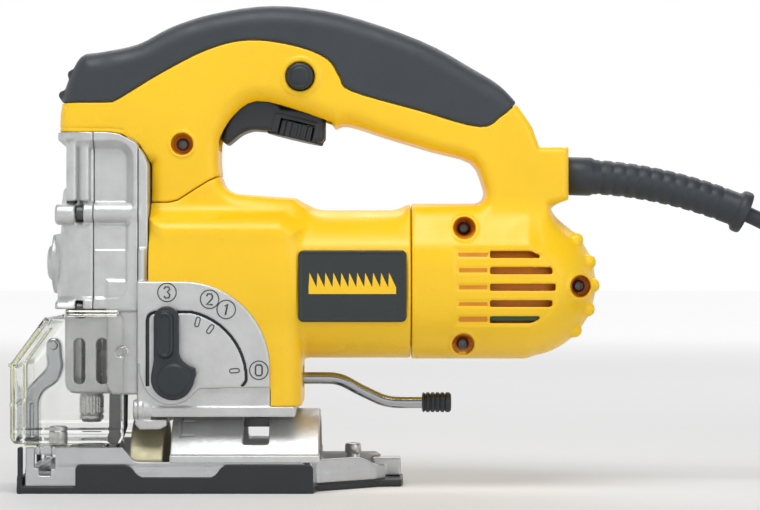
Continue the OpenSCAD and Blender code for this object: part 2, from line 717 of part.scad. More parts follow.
module guide_roller() {
    color("silver") difference() {
        along_y(roller_r, -3.1, 3.1, roller_x, roller_z);
        along_y(1.6, -9, 9, roller_x, roller_z);
        rotate([90, 0, 0]) translate([roller_x, roller_z, 0]) rotate_extrude()
            polygon([[roller_r + 0.1, -0.7], [roller_r + 0.1, 0.7], [roller_r - 1.2, 0.5],
                [roller_r - 1.2, -0.5]]);
    }
}
module roller_pin() { color("silver") along_y(1.48, -5.3, 5.3, roller_x, roller_z); }

// ---- Shoe, arch and sole ----
rear_edge = [[93, -shoe_half_w], [94.5, -20], [108, -9.4], [120, 0.5], [124, 5], [124, shoe_half_w]];
module shoe() {
    color("silver") difference() {
        union() {
            linear_extrude(4.8) shoe_plan();
            for (s = [-1, 1]) shoe_wall(s);
            block([16, 30], [-shoe_half_w, shoe_half_w], [0, 5.5]);
            block([92, 96], [-19, shoe_half_w], [0, 7]);
            rear_rim();
            block([118.5, 131], [18, shoe_half_w], [0, 8]);
            for (s = [-1, 1]) block([-24.3, -10.6], s < 0 ? [-28.6, -12.5] : [12.5, 28.6], [13, 16.5]);
        }
        block([-10.5, 15], [-19, 19], [-1, 30]);
        block([-24.2, -10.4], [-13, 13], [-1, 30]);
        block([33, 90], [-24, 24], [-1, 30]);
        for (s = [-1, 1]) block([-24.3, -15.4], s < 0 ? [-40, -28] : [28, 40], [10.7 - sole_t, 30]);
        along_z(1.6, -1, 9, 110, 12);
        along_z(1.6, -1, 20, -15.5, -20);
    }
}
module shoe_plan() {
    polygon(concat([[-28, shoe_half_w], [-28, -shoe_half_w]], rear_edge));
}
module shoe_wall(s) {
    rear = s < 0 ? 93 : 124;
    side([[-28, 0], [rear, 0], [rear, s < 0 ? 6 : 7.5], [rear - 4, 10.2], [20, 10.2], [17.8, 10.9],
        [12.8, 16.5], [-28, 16.5]], s < 0 ? -shoe_half_w : shoe_half_w - 3,
        s < 0 ? -shoe_half_w + 3 : shoe_half_w);
}
module rear_rim() {
    inner_edge = [[120.6, 6], [117.4, 2.8], [105.8, -6.8], [91.6, -18.2], [90.2, -shoe_half_w]];
    intersection() {
        linear_extrude(10.2) polygon(concat([for (i = [0:3]) rear_edge[i]],
            [[124, 5], [124, 6]], inner_edge));
        side([[90, 0], [126, 0], [126, 5.2], [119, 8.4], [112, 10.2], [90, 10.2]], -shoe_half_w, 6);
    }
}
module bevel_arch() {
    color("silver") difference() {
        intersection() {
            ring_x(arch_r, arch_r - 3, 33, 96);
            block([0, 200], [-shoe_half_w, shoe_half_w], [sole_t + 10.2, 60]);
        }
        wedge_x(bevel_limit + 8, 60, clamp_screw_x - clamp_slot_w / 2, clamp_screw_x + clamp_slot_w / 2);
    }
}
module dust_chute() {
    color("darkkhaki") intersection() {
        ring_x(30.8, 28, 15.5, 29.5);
        block([0, 200], [-27.5, 27.5], [8.7, 60]);
    }
}
module shoe_cover() {
    outline = [[-31.4, 32.2], [-31.4, -32.2], [93.8, -32.2], [95.4, -21.3], [109.4, -10.4],
        [121.6, 0], [131, 1.6], [131.9, 6], [131.9, 32.2]];
    color("darkslategray") difference() {
        union() {
            linear_extrude(sole_t) polygon(outline);
            block([-31.4, -29.5], [-32.2, 32.2], [0, 7.2]);
            for (s = [-1, 1]) {
                block([-31.4, -29.5], s < 0 ? [-32.2, -27] : [27, 32.2], [0, 19.6]);
                side([[-6.9, 0], [93.6, 0], [93.6, 10.4], [91.6, 12.4], [57, 12.4], [51.4, 7.1], [20.6, 7.1],
                    [13.6, 12.4], [-4.7, 12.4], [-6.9, 10.2]],
                    s < 0 ? -32.2 : shoe_half_w + 0.02, s < 0 ? -shoe_half_w - 0.02 : 32.2);
            }
            block([122.4, 131.9], [24, 32.2], [0, 2.9]);
        }
        block([-10.5, 15], [-14.4, 14.4], [-1, 30]);
        block([-24.2, -10.4], [-9, 9], [-1, 30]);
        block([36, 88], [-22, 22], [-1, 30]);
        along_z(1.6, -1, 9, 110, 12);
    }
}
module shoe_screws() {
    color("dimgray") {
        along_z(1.55, 0.4, 9, 110, 12);
        along_z(2.9, 8, 13.8, 110, 12);
        along_z(3.6, 13.8, 18.4, 110, 12);
        along_z(1.55, 16.4, 23, -15.5, -20);
        along_z(4, 20, 28, -15.5, -20);
    }
}

// ---- Clear blade shield ----
module blade_shield() {
    outer = concat([[13.8, 23], [13.8, 76.6], [11.8, 77.8], [-17.8, 77.8], [-34.4, 54.8], [-34.4, 24]],
        arc([-31, 24], 3.2, 190, 270, 4), [[12, 20.8]]);
    color("lightcyan", 0.4) difference() {
        side(outer, -33.8, 33.8);
        side([[20, 10], [20, 90], [11, 90], [11, 75.6], [-16.6, 75.6], [-32.4, 54], [-32.4, 10]],
            -32.1, 32.1);
        block([-60, -15], [-6.4, 6.4], [10, 69]);
        block([-19.5, 30], [-case_half_w - 0.7, case_half_w + 0.7], [70, 90]);
        block([-30, 30], [-40, 40], [-5, 20.8]);
    }
    color("lightcyan", 0.4) for (s = [-1, 1]) along_y(2.4, s < 0 ? -32.2 : case_half_w + 0.02,
        s < 0 ? -case_half_w - 0.02 : 32.2, 12.6, 60);
}

// ---- Cord, guard and plug ----
guard_start = [202.7, 0, 135.2];
guard_bend_r = 195.4;
guard_angle = 23.6;
guard_end = [guard_start[0] + guard_bend_r * sin(guard_angle), 0,
    guard_start[2] - guard_bend_r * (1 - cos(guard_angle))];
module cord_guard() {
    color("darkslategray") {
        translate([guard_start[0], 0, guard_start[2] - guard_bend_r])
            rotate([0, guard_angle - 90, 0]) rotate([90, 0, 0])
                rotate_extrude(angle = guard_angle, $fn = 180) translate([guard_bend_r, 0]) circle(r = 7.4);
        translate(guard_end) rotate([0, 90 + guard_angle, 0]) translate([0, 0, -4])
            cylinder(r1 = 7.5, r2 = 9, h = 4);
        along_x(8.2, guard_start[0], guard_start[0] + 12, 0, guard_start[2]);
        along_x(cord_d / 2 + 0.45, 198.4, guard_start[0], 0, guard_start[2]);
        along_x(cord_d / 2, 189, 198.5, 0, guard_start[2]);
    }
}
module cord_clamp() {
    color("dimgray") difference() {
        block([190, 196], [-15.2, 15.2], [130, 140.5]);
        along_x(cord_d / 2 + 0.1, 180, 200, 0, 135.2);
        for (s = [-1, 1]) along_z(1.4, 120, 150, 193, s * 7);
    }
}

coil_r = coil_mean_d / 2;
coil_turns = 3;
coil_centre = [380, 16];
coil_out = coil_r + (coil_turns - 1) * cord_d / 2;
cord_lies_z = cord_d / 2 + 0.1;
function eased(t) = t * t * (3 - 2 * t);
cord_route = concat([guard_end, [295, -0.8, 111.6], [307.5, -3.2, 101.6], [318, -7, 88.4],
    [326, -11.5, 73], [333, -16.2, 57], [340, -21.2, 40], [347.5, -26.2, 25.5], [356.5, -31, 13.4],
    [366.4, -34.7, 6.3], [373.2, -36, 4.2]],
    [for (a = [-90:15:-30]) let (r = coil_out + cord_d * (1 - eased((a + 105) / 120)))
        [coil_centre[0] + r * cos(a), coil_centre[1] + r * sin(a), cord_lies_z]]);
tail_bend_r = 30.25;
tail_centre = [coil_centre[0], coil_centre[1] - coil_r + tail_bend_r];
plug_x = coil_centre[0];
plug_y = tail_centre[1] + tail_bend_r;
plug_z = coil_turns * cord_d + 13.5;
tail_route = [for (i = [0:9]) let (a = -90 + 20 * i)
    [tail_centre[0] + tail_bend_r * cos(a), tail_centre[1] + tail_bend_r * sin(a),
        (coil_turns - 0.5) * cord_d + (plug_z - (coil_turns - 0.5) * cord_d) * eased((a + 120) / 210)]];
module tube(path, r, sides) {
    n = len(path);
    rings = [for (i = [0:n - 1])
        let (d = path[min(i + 1, n - 1)] - path[max(i - 1, 0)], t = d / norm(d), v = [0, 1, 0],
            w = cross(t, v), u = w / norm(w), b = cross(u, t))
        for (k = [0:sides - 1]) path[i] + r * (cos(360 * k / sides) * u + sin(360 * k / sides) * b)];
    polyhedron(points = rings, faces = concat(
        [[for (k = [0:sides - 1]) k]],
        [for (i = [0:n - 2], k = [0:sides - 1]) let (a = i * sides + k, b = i * sides + (k + 1) % sides)
            [a, a + sides, b + sides, b]],
        [[for (k = [sides - 1:-1:0]) (n - 1) * sides + k]]));
}
module cord() {
    color("black") {
        tube(curve(cord_route, 2), cord_d / 2 - 0.05, 10);
        tube(tail_route, cord_d / 2 - 0.05, 10);
    }
}
module cord_coil() {
    half = cord_d * coil_turns / 2;
    high = cord_d * coil_turns;
    color("black") translate([coil_centre[0], coil_centre[1], 0]) rotate_extrude()
        polygon([[coil_r - half, 1.5], [coil_r - half + 1.5, 0],
            [coil_r + half - 1.5, 0], [coil_r + half, 1.5],
            [coil_r + half, high - 1.5], [coil_r + half - 1.5, high],
            [coil_r - half + 1.5, high], [coil_r - half, high - 1.5]]);
}
module plug() {
    color("black") translate([plug_x, plug_y, plug_z]) {
        rotate([0, -90, 0]) cylinder(r1 = 4.5, r2 = 7.5, h = 18);
        rotate([0, -90, 0]) translate([0, 0, 17]) linear_extrude(34)
            polygon(concat(arc([0, 5], 13, 0, 180, 10), arc([0, -5], 13, 180, 360, 10)));
    }
    color("silver") for (s = [-1, 1])
        along_x(2.4, plug_x - 70, plug_x - 51, plug_y + 9.5 * s, plug_z);
}

handle_shell_left();
handle_shell_right();
grip_pad_left();
grip_pad_right();
motor_housing();
label_plates();
handle_screws();
gear_case_cover();
gear_case();
gear_case_back();
cover_screws();
orbital_lever();
orbital_shaft();
trigger();
speed_dial();
trigger_spring();
switch_module();
speed_module();
lock_button();
lock_spring();
blade_lever();
blade_lever_tip();
blade_lever_pin();
bevel_lever();
bevel_lever_cap();
bevel_screw();
armature_shaft();
armature_stack();
armature_windings();
commutator();
fan();
ball_bearings();
field_stack();
field_coils();
brush_bridge();
brushes();
brush_springs();
fan_baffle();
crank_gear();
plunger();
plunger_bushings();
counterweight();
counterweight_pins();
blade_clamp();
clamp_collar();
roller_yoke();
yoke_pin();
guide_roller();
roller_pin();
translate([0, 0, sole_t]) shoe();
bevel_arch();
dust_chute();
shoe_cover();
shoe_screws();
blade_shield();
cord_guard();
cord_clamp();
cord();
cord_coil();
plug();
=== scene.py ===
"""Corded D-handle jigsaw. Sizes are millimetres in the part's own frame, X to the rear and Z up."""
import functools
import json
import math

import bmesh
import bpy
import numpy as np
import openvdb
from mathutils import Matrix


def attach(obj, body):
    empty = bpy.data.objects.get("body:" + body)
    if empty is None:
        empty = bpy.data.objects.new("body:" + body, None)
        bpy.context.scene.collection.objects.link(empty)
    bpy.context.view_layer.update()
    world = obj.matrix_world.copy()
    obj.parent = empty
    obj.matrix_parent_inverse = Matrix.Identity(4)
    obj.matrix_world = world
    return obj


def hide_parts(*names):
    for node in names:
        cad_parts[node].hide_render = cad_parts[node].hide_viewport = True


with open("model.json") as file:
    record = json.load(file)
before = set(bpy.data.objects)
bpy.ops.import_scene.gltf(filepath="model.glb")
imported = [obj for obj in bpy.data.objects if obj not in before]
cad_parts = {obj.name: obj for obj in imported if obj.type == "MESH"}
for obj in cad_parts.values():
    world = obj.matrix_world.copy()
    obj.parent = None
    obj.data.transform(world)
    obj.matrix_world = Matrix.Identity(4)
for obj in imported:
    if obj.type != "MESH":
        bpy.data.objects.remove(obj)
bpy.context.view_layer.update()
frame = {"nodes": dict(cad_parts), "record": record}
nodes = frame["nodes"]

MM = 0.001
# Lattice steps for large and small pieces
STEP = 0.5
SMALL_STEP = 0.3
# Play between neighbouring mouldings
GAP = 0.18

# Driving sizes, as in the part
MOTOR_Z = 88.3
BARREL_R = 32.0
BARREL_HALF = 29.5
HANDLE_HALF = 18.0
WALL = 2.6
PAD = 2.0
CASE_HALF = 27.0
DIAL_HALF = 31.5
PLUNGER_X = -3.5
SOLE = 3.2
SHOE_HALF = 31.5
ARCH_R = 34.3
BULKHEAD_X = 23.4
BARREL_END_X = 134.9
# Speed wheel's lean, then places in x and z
TILT = math.radians(13.3)
HUB = (34.6, 48.2)
CLAMP_X = 69.0
ROD_Z = 47.4
DIAL = (85.6, 154.3)
LOCK = (87.6, 177.3)
CORD_D = 7.0
# The coil lies on the floor beside the tool, in plan
COIL_CENTRE = (380.0, 16.0)
COIL_R = 38.5
COIL_TURNS = 3
GUARD_START = (202.7, 135.2)
GUARD_BEND = 195.4
GUARD_ANGLE = math.radians(23.6)
# Handle screws: x, z and the depth of the well
SCREWS = [(37.1, 148.4, 12), (157.8, 112.4, 12), (157.3, 62.9, 12), (207.4, 87.5, 9)]


# ---- Outlines ----
def curve(points, steps=4):
    """Smooth line through the points."""
    out = []
    count = len(points)
    for i in range(count - 1):
        a, b, c, d = (points[max(i - 1, 0)], points[i], points[i + 1], points[min(i + 2, count - 1)])
        for k in range(steps):
            t = k / steps
            out.append(tuple(
                0.5 * (2 * q + (r - p) * t + (2 * p - 5 * q + 4 * r - s) * t * t
                       + (3 * q - p - 3 * r + s) * t ** 3)
                for p, q, r, s in zip(a, b, c, d)))
    return out + [tuple(points[-1])]


def arc(centre, r, start, end, steps=8):
    """Points on an arc, angles in degrees."""
    angles = [math.radians(start + (end - start) * i / steps) for i in range(steps + 1)]
    return [(centre[0] + r * math.cos(a), centre[1] + r * math.sin(a)) for a in angles]


# Side view of the handle, in x and z: its top, the grip pad's lower edge, the rear corner, the hand
# hole and the trigger's opening
TOP_LINE = curve([(-14.8, 168), (-11.7, 177), (-6.5, 186.2), (2, 188), (17.8, 191.4), (32.2, 198.8),
                  (50.5, 204.6), (76, 207.9), (104.8, 204.4), (139.2, 192.9), (161.8, 180.7),
                  (173, 173.5), (180.3, 165.7)])
GRIP_LINE = curve([(-14.8, 166.2), (4.4, 166.3), (10, 167.8), (27.1, 178.2), (47.7, 188.7),
                   (65.7, 192.9), (85.4, 190.4), (99.1, 184.8), (104.5, 177), (109.4, 171.1),
                   (138.9, 162.6), (164.4, 155.7), (173.6, 160.2), (179.9, 165.4)])
REAR_LINE = [(183.6, 160.9), (187.1, 155.7), (190.1, 147.2), (202.7, 147.2), (202.7, 124.6),
             (194.4, 122.2), (192, 108)]
GRIP_HOLE = curve([(163.7, 120.7), (166.3, 122.7), (167.2, 126), (166.3, 131.3), (161.2, 141.1),
                   (144.9, 145.8), (124.8, 151.8), (108.1, 157), (102.5, 155.7)], 3)
TRIGGER_LINE = curve([(100.8, 157.8), (85.4, 162.9), (69, 166.4), (59.3, 160.8), (53.3, 151.8),
                      (52.5, 145), (52.6, 138), (54, 131.5), (57.5, 128.3), (61, 127)], 3)
HANDLE_OUTLINE = ([(-16, 140), (-15.7, 161.4)] + TOP_LINE + REAR_LINE + [(135.3, 104), (135.3, 120.7)]
                  + GRIP_HOLE + TRIGGER_LINE
                  + [(70, 126.2), (85.3, 124.8), (88.7, 120.9), (88.7, 100), (23.6, 100), (23.6, 140)])
PAD_OUTLINE = ([(-25, 166.2)] + GRIP_LINE + [(183, 168.5), (192, 178), (170, 215), (-25, 215)])


# ---- Distance fields, negative inside ----
def lattice(box, step):
    """Three arrays of lattice coordinates that broadcast over a box of millimetres."""
    axes = [np.arange(lo - 2.5 * step, hi + 3.5 * step, step, dtype=np.float32) for lo, hi in box]
    return axes[0][:, None, None], axes[1][None, :, None], axes[2][None, None, :]


def outline(points, u, v):
    """Distance to a closed outline in the plane of u and v."""
    u, v = np.broadcast_arrays(u, v)
    best = np.full(u.shape, 1e9, np.float32)
    inside = np.zeros(u.shape, bool)
    for (ax, ay), (bx, by) in zip(points, points[1:] + points[:1]):
        dx = bx - ax
        dy = by - ay
        t = np.clip(((u - ax) * dx + (v - ay) * dy) / max(dx * dx + dy * dy, 1e-9), 0, 1)
        np.minimum(best, (u - ax - t * dx) ** 2 + (v - ay - t * dy) ** 2, out=best)
        if ay != by:
            inside ^= ((ay > v) != (by > v)) & (u < (v - ay) * dx / dy + ax)
    far = np.sqrt(best)
    return np.where(inside, -far, far)


def slab(flat, across, half, r, middle=0.0):
    """An outline's field made into a plate of that half thickness with edges rounded to r."""
    a = flat + r
    b = np.abs(across - middle) - half + r
    return np.minimum(np.maximum(a, b), 0) + np.hypot(np.maximum(a, 0), np.maximum(b, 0)) - r


def block(p, x, y, z, r=0.0):
    """A box between two values on each axis, with edges rounded to r."""
    parts = [np.abs(c - (lo + hi) / 2) - (hi - lo) / 2 + r for c, (lo, hi) in zip(p, (x, y, z))]
    out = np.sqrt(sum(np.maximum(q, 0) ** 2 for q in parts))
    return out + np.minimum(overlap(*parts), 0) - r


def rod(p, axis, centre, r, lo, hi, edge=0.0):
    """A cylinder along an axis 0, 1 or 2, centre given by the other two coordinates."""
    u, v = [p[i] for i in range(3) if i != axis]
    return slab(np.hypot(u - centre[0], v - centre[1]) - r, p[axis], (hi - lo) / 2, edge, (lo + hi) / 2)


def join(a, b, k=0.0):
    """Union, with a fillet about k wide."""
    if not k:
        return np.minimum(a, b)
    h = np.maximum(k - np.abs(a - b), 0) / k
    return np.minimum(a, b) - h * h * k * 0.25


def meet(a, b, k=0.0):
    """Intersection, with its edge rounded about k wide."""
    return -join(-a, -b, k)


def cut(a, b, k=0.0):
    """a without b."""
    return -join(-a, b, k)


def mirrored(p):
    """The places with the left half folded onto the right one."""
    return p[0], np.abs(p[1]), p[2]


def overlap(*fields):
    """What lies inside every one of the fields."""
    return functools.reduce(np.maximum, fields)


def ramp(x, lo, hi):
    """0 at lo to 1 at hi, smooth."""
    t = np.clip((x - lo) / (hi - lo), 0, 1)
    return t * t * (3 - 2 * t)


# ---- Making pieces ----
def finish_piece(obj, body, material, stands_for):
    """Material, body and replaced CAD nodes of a new piece."""
    obj.data.materials.clear()
    for m in material if isinstance(material, list) else [material]:
        obj.data.materials.append(m)
    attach(obj, body)
    if stands_for:
        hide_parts(*stands_for)
    return obj


def link_object(name, data):
    """A new object of the scene around a mesh, curve, lamp or camera."""
    obj = bpy.data.objects.new(name, data)
    bpy.context.scene.collection.objects.link(obj)
    return obj


def mesh_object(name, verts, faces):
    """An object from arrays of millimetre points and of faces with equal corner counts."""
    mesh = bpy.data.meshes.new(name)
    verts = np.asarray(verts, np.float32) * MM
    faces = np.asarray(faces, np.int32)
    mesh.vertices.add(len(verts))
    mesh.vertices.foreach_set("co", verts.ravel())
    mesh.loops.add(faces.size)
    mesh.loops.foreach_set("vertex_index", faces.ravel())
    mesh.polygons.add(len(faces))
    mesh.polygons.foreach_set("loop_start", np.arange(0, faces.size, faces.shape[1], dtype=np.int32))
    mesh.update(calc_edges=True)
    mesh.validate()
    mesh.shade_smooth()
    return link_object(name, mesh)


def skin(name, box, field, step):
    """The surface of a distance field over a box, as a mesh object."""
    p = lattice(box, step)
    d = np.clip(field(p), -3 * step, 3 * step)
    grid = openvdb.FloatGrid(3 * step)
    grid.copyFromArray(np.ascontiguousarray(d, np.float32))
    points, quads = grid.convertToQuads(isovalue=0.0)
    low = np.array([float(a.ravel()[0]) for a in p])
    return mesh_object(name, points * step + low, quads)


def skin_piece(name, box, field, step, body, material, node):
    """A skinned piece that stands for one CAD node."""
    return finish_piece(skin(name, box, field, step), body, material, (node,))


def tube_faces(rings, sides, first=0):
    """Quads between successive rings of points, and a cap on each end."""
    ring = [[first + i * sides + k for k in range(sides)] for i in range(rings)]
    quads = [(a[k], a[(k + 1) % sides], b[(k + 1) % sides], b[k])
             for a, b in zip(ring, ring[1:]) for k in range(sides)]
    return quads + [tuple(ring[0][::-1]), tuple(ring[-1])]


def closed_object(name, verts, faces, smooth=True, sharp_over=None):
    """An object from millimetre points, its faces turned outwards.

    Edges that turn by more than sharp_over degrees stay sharp."""
    mesh = bpy.data.meshes.new(name)
    mesh.from_pydata([tuple(c * MM for c in v) for v in verts], [], faces)
    work = bmesh.new()
    work.from_mesh(mesh)
    bmesh.ops.recalc_face_normals(work, faces=work.faces)
    if sharp_over:
        for edge in work.edges:
            edge.smooth = edge.is_boundary or edge.calc_face_angle(0) < math.radians(sharp_over)
    work.to_mesh(mesh)
    work.free()
    if smooth:
        mesh.shade_smooth()
    return link_object(name, mesh)


def face_data(mesh, what):
    """The centre or the normal of every face, as three arrays."""
    values = np.empty(len(mesh.polygons) * 3, np.float32)
    mesh.polygons.foreach_get(what, values)
    return values.reshape(-1, 3).T


def use_second_material(obj, chosen):
    """Gives the chosen faces the object's second material."""
    obj.data.polygons.foreach_set("material_index", chosen.astype(np.int32))


# ---- Camera, light and floor, in metres ----
CAMERA_PLACE = (0.1218, -1.1, 0.1009)
CAMERA_LENS = 119.8
FLOOR_HALF = 6.0


def set_camera():
    """Level camera square to the near side, at the height of the tool's middle."""
    data = bpy.data.cameras.new("camera")
    data.sensor_width = 36
    data.lens = CAMERA_LENS
    cam = link_object("camera", data)
    cam.location = CAMERA_PLACE
    cam.rotation_euler = (math.pi / 2, 0, 0)
    bpy.context.scene.camera = cam


def area_light(name, place, target, size, power):
    """A soft rectangular light aimed at a point."""
    data = bpy.data.lights.new(name, "AREA")
    data.shape = "RECTANGLE"
    data.size = size[0]
    data.size_y = size[1]
    data.energy = power
    lamp = link_object(name, data)
    lamp.location = place
    aim = [t - p for t, p in zip(target, place)]
    flat = math.hypot(aim[0], aim[1])
    lamp.rotation_euler = (math.atan2(flat, -aim[2]), 0, math.atan2(-aim[0], aim[1]))


def set_lights():
    """A large soft key from above and in front, a fill, a rim, and a surround palest at the horizon."""
    middle = (0.12, 0, 0.09)
    area_light("key", (0.0, -0.5, 1.05), middle, (1.0, 0.45), 8.5)
    area_light("fill", (0.75, -0.9, 0.45), middle, (0.6, 0.6), 1.6)
    area_light("rim", (0.2, 0.8, 0.9), middle, (1.4, 0.5), 6)
    bpy.context.scene.view_settings.view_transform = "Standard"
    world = bpy.data.worlds.new("surround")
    world.use_nodes = True
    tree = world.node_tree
    sky = tree.nodes["Background"]
    sky.inputs["Color"].default_value = (1, 1, 1, 1)
    where = tree.nodes.new("ShaderNodeTexCoord")
    split = tree.nodes.new("ShaderNodeSeparateXYZ")
    tree.links.new(where.outputs["Generated"], split.inputs["Vector"])
    height = map_range(tree, split.outputs["Z"], (0.12, 0.5), (1.0, 0.25), smooth=True)
    tree.links.new(height, sky.inputs["Strength"])
    bpy.context.scene.world = world


def set_floor():
    """Plain pale floor that glows a little, so that it stays pale far from the lamps."""
    r = FLOOR_HALF
    mesh = bpy.data.meshes.new("floor")
    mesh.from_pydata([(-r, -r, 0), (r, -r, 0), (r, r, 0), (-r, r, 0)], [], [(0, 1, 2, 3)])
    floor = link_object("floor", mesh)
    pale = surface_material("floor", (0.62, 0.62, 0.62), 0.85, mottle=0.008, mottle_size=300, rough_vary=0.02)
    tree = pale.node_tree
    shader = tree.nodes["Principled BSDF"]
    shader.inputs["Emission Color"].default_value = (1, 1, 1, 1)
    where = tree.nodes.new("ShaderNodeTexCoord")
    away = tree.nodes.new("ShaderNodeVectorMath")
    away.operation = "LENGTH"
    tree.links.new(where.outputs["Object"], away.inputs[0])
    glow = map_range(tree, away.outputs["Value"], (0.3, 2.2), (0.12, 0.72), smooth=True)
    tree.links.new(glow, shader.inputs["Emission Strength"])
    floor.data.materials.append(pale)


# ---- Materials ----
def srgb(r, g, b):
    """Linear colour from 0 to 255 values."""
    return tuple(((c / 255 + 0.055) / 1.055) ** 2.4 if c > 10 else c / 255 / 12.92 for c in (r, g, b))


def map_range(tree, source, old, new, smooth=False):
    """Output of a node that maps one range of a value onto another."""
    n = tree.nodes.new("ShaderNodeMapRange")
    if smooth:
        n.interpolation_type = "SMOOTHSTEP"
    for socket, value in zip(("From Min", "From Max", "To Min", "To Max"), (*old, *new)):
        n.inputs[socket].default_value = value
    tree.links.new(source, n.inputs["Value"])
    return n.outputs["Result"]


def noise(tree, source, scale, detail, roughness=0.5):
    """Output of a noise node over a coordinate."""
    n = tree.nodes.new("ShaderNodeTexNoise")
    for socket, value in (("Scale", scale), ("Detail", detail), ("Roughness", roughness)):
        n.inputs[socket].default_value = value
    tree.links.new(source, n.inputs["Vector"])
    return n.outputs["Fac"]


def vector_math(tree, operation, source, second):
    """Output of a vector node whose second operand is a constant."""
    n = tree.nodes.new("ShaderNodeVectorMath")
    n.operation = operation
    tree.links.new(source, n.inputs[0])
    n.inputs[1].default_value = second
    return n.outputs["Vector"]


def surface_material(name, colour, roughness, metallic=0.0, grain=0.0, grain_size=0.6, mottle=0.06,
                     mottle_size=12.0, streak=None, rough_vary=0.08, sheen=0.0, crease_shade=None):
    """Moulded, cast or turned surface: tone and gloss vary slowly, and a fine grain raises it.

    grain is the height of the grain and grain_size its width, both in mm; streak is an axis 0-2
    along which the grain is drawn out, as turning or brushing leaves it."""
    mat = bpy.data.materials.new(name)
    mat.use_nodes = True
    tree = mat.node_tree
    shader = tree.nodes["Principled BSDF"]
    shader.inputs["Metallic"].default_value = metallic
    shader.inputs["Sheen Weight"].default_value = sheen
    place = tree.nodes.new("ShaderNodeTexCoord").outputs["Object"]
    middle = (0.3, 0.7)
    slow = noise(tree, place, 1000 / mottle_size, 4.0, 0.6)
    base = tree.nodes.new("ShaderNodeVectorMath")
    base.operation = "SCALE"
    base.inputs[0].default_value = colour
    tree.links.new(map_range(tree, slow, middle, (1 - mottle, 1 + mottle)), base.inputs["Scale"])
    tone = base.outputs["Vector"]
    # Painted shade: a darker colour in the concave creases
    if crease_shade:
        tone = paint_crease_shade(tree, tone, crease_shade)
    tree.links.new(tone, shader.inputs["Base Color"])
    patches = noise(tree, place, 1000 / (mottle_size * 0.37), 5.0)
    gloss = (max(roughness - rough_vary, 0.02), min(roughness + rough_vary, 1.0))
    tree.links.new(map_range(tree, patches, middle, gloss), shader.inputs["Roughness"])
    if grain:
        if streak is not None:
            place = vector_math(tree, "MULTIPLY", place, [0.04 if i == streak else 1.0 for i in range(3)])
        bump = tree.nodes.new("ShaderNodeBump")
        bump.inputs["Strength"].default_value = 1.0
        bump.inputs["Distance"].default_value = grain * MM
        tree.links.new(noise(tree, place, 1000 / grain_size, 3.0, 0.55), bump.inputs["Height"])
        tree.links.new(bump.outputs["Normal"], shader.inputs["Normal"])
    return mat


def paint_crease_shade(tree, source, crease_shade):
    """Painted shade: mixes in a darker second colour where the mesh folds inwards, in creases and recesses;
    the last argument holds (colour, from, to).
    """
    shape = tree.nodes.new("ShaderNodeNewGeometry")
    mix = tree.nodes.new("ShaderNodeMix")
    mix.data_type = "RGBA"
    tree.links.new(map_range(tree, shape.outputs["Pointiness"], crease_shade[1:], (0, 1)), mix.inputs["Factor"])
    tree.links.new(source, mix.inputs["A"])
    mix.inputs["B"].default_value = (*crease_shade[0], 1)
    return mix.outputs["Result"]


def clear_material(name, tint, roughness):
    """Clear moulded plastic with a faint uneven haze."""
    mat = bpy.data.materials.new(name)
    mat.use_nodes = True
    tree = mat.node_tree
    shader = tree.nodes["Principled BSDF"]
    shader.inputs["Base Color"].default_value = (*tint, 1)
    shader.inputs["Transmission Weight"].default_value = 1.0
    shader.inputs["IOR"].default_value = 1.5
    place = tree.nodes.new("ShaderNodeTexCoord").outputs["Object"]
    haze = map_range(tree, noise(tree, place, 160.0, 3.0), (0.45, 0.75), (roughness, roughness + 0.12))
    tree.links.new(haze, shader.inputs["Roughness"])
    return mat


# The orange-brown mixed into the yellow's creases is painted shade.
YELLOW = surface_material("yellow_plastic", srgb(246, 198, 18), 0.34, grain=0.05, grain_size=0.5,
                          mottle=0.03, mottle_size=30, crease_shade=(srgb(214, 138, 8), 0.47, 0.4))
# Darker copy of the yellow: painted shade for the insides of the wells and slots.
YELLOW_PAINTED_SHADE = surface_material("yellow_painted_shade", srgb(216, 132, 12), 0.5, grain=0.05, grain_size=0.5,
                               mottle=0.08, mottle_size=8)
SLATE_GRIP = surface_material("soft_grip", srgb(46, 53, 59), 0.5, grain=0.08, grain_size=0.45,
                              mottle=0.07, mottle_size=20, sheen=0.15)
DARK = surface_material("dark_plastic", srgb(36, 42, 47), 0.42, grain=0.05, grain_size=0.5, mottle=0.08)
LABEL = surface_material("label", srgb(38, 44, 44), 0.34, grain=0.006, grain_size=0.3, mottle=0.05,
                         mottle_size=20)
# The dark grey mixed into the cast metal's creases is painted shade.
CAST = surface_material("cast_metal", srgb(203, 204, 204), 0.42, metallic=0.7, grain=0.11,
                        grain_size=0.7, mottle=0.07, mottle_size=9, crease_shade=(srgb(120, 122, 124), 0.47, 0.38))
# Dark copy of the cast metal: painted shade for the dial's groove and for the outlines of its numbers and
# slots.
CAST_SHADE = surface_material("cast_painted_shade", srgb(74, 78, 80), 0.5, metallic=0.4, grain=0.06,
                              grain_size=0.6, mottle=0.1, mottle_size=6)
# Olive-tan copy of the cast metal: painted shade with a painted reflection of the shoe.
OLIVE_PAINTED_SHADE = surface_material("arch_metal", srgb(178, 172, 142), 0.45, metallic=0.6, grain=0.08,
                         grain_size=0.8, mottle=0.1, mottle_size=10)
STEEL = surface_material("steel", srgb(190, 190, 188), 0.3, metallic=1.0, grain=0.02, grain_size=0.3,
                         mottle=0.06, streak=0)
DARK_STEEL = surface_material("dark_steel", srgb(96, 96, 98), 0.42, metallic=0.9, grain=0.04,
                              grain_size=0.5, mottle=0.1)
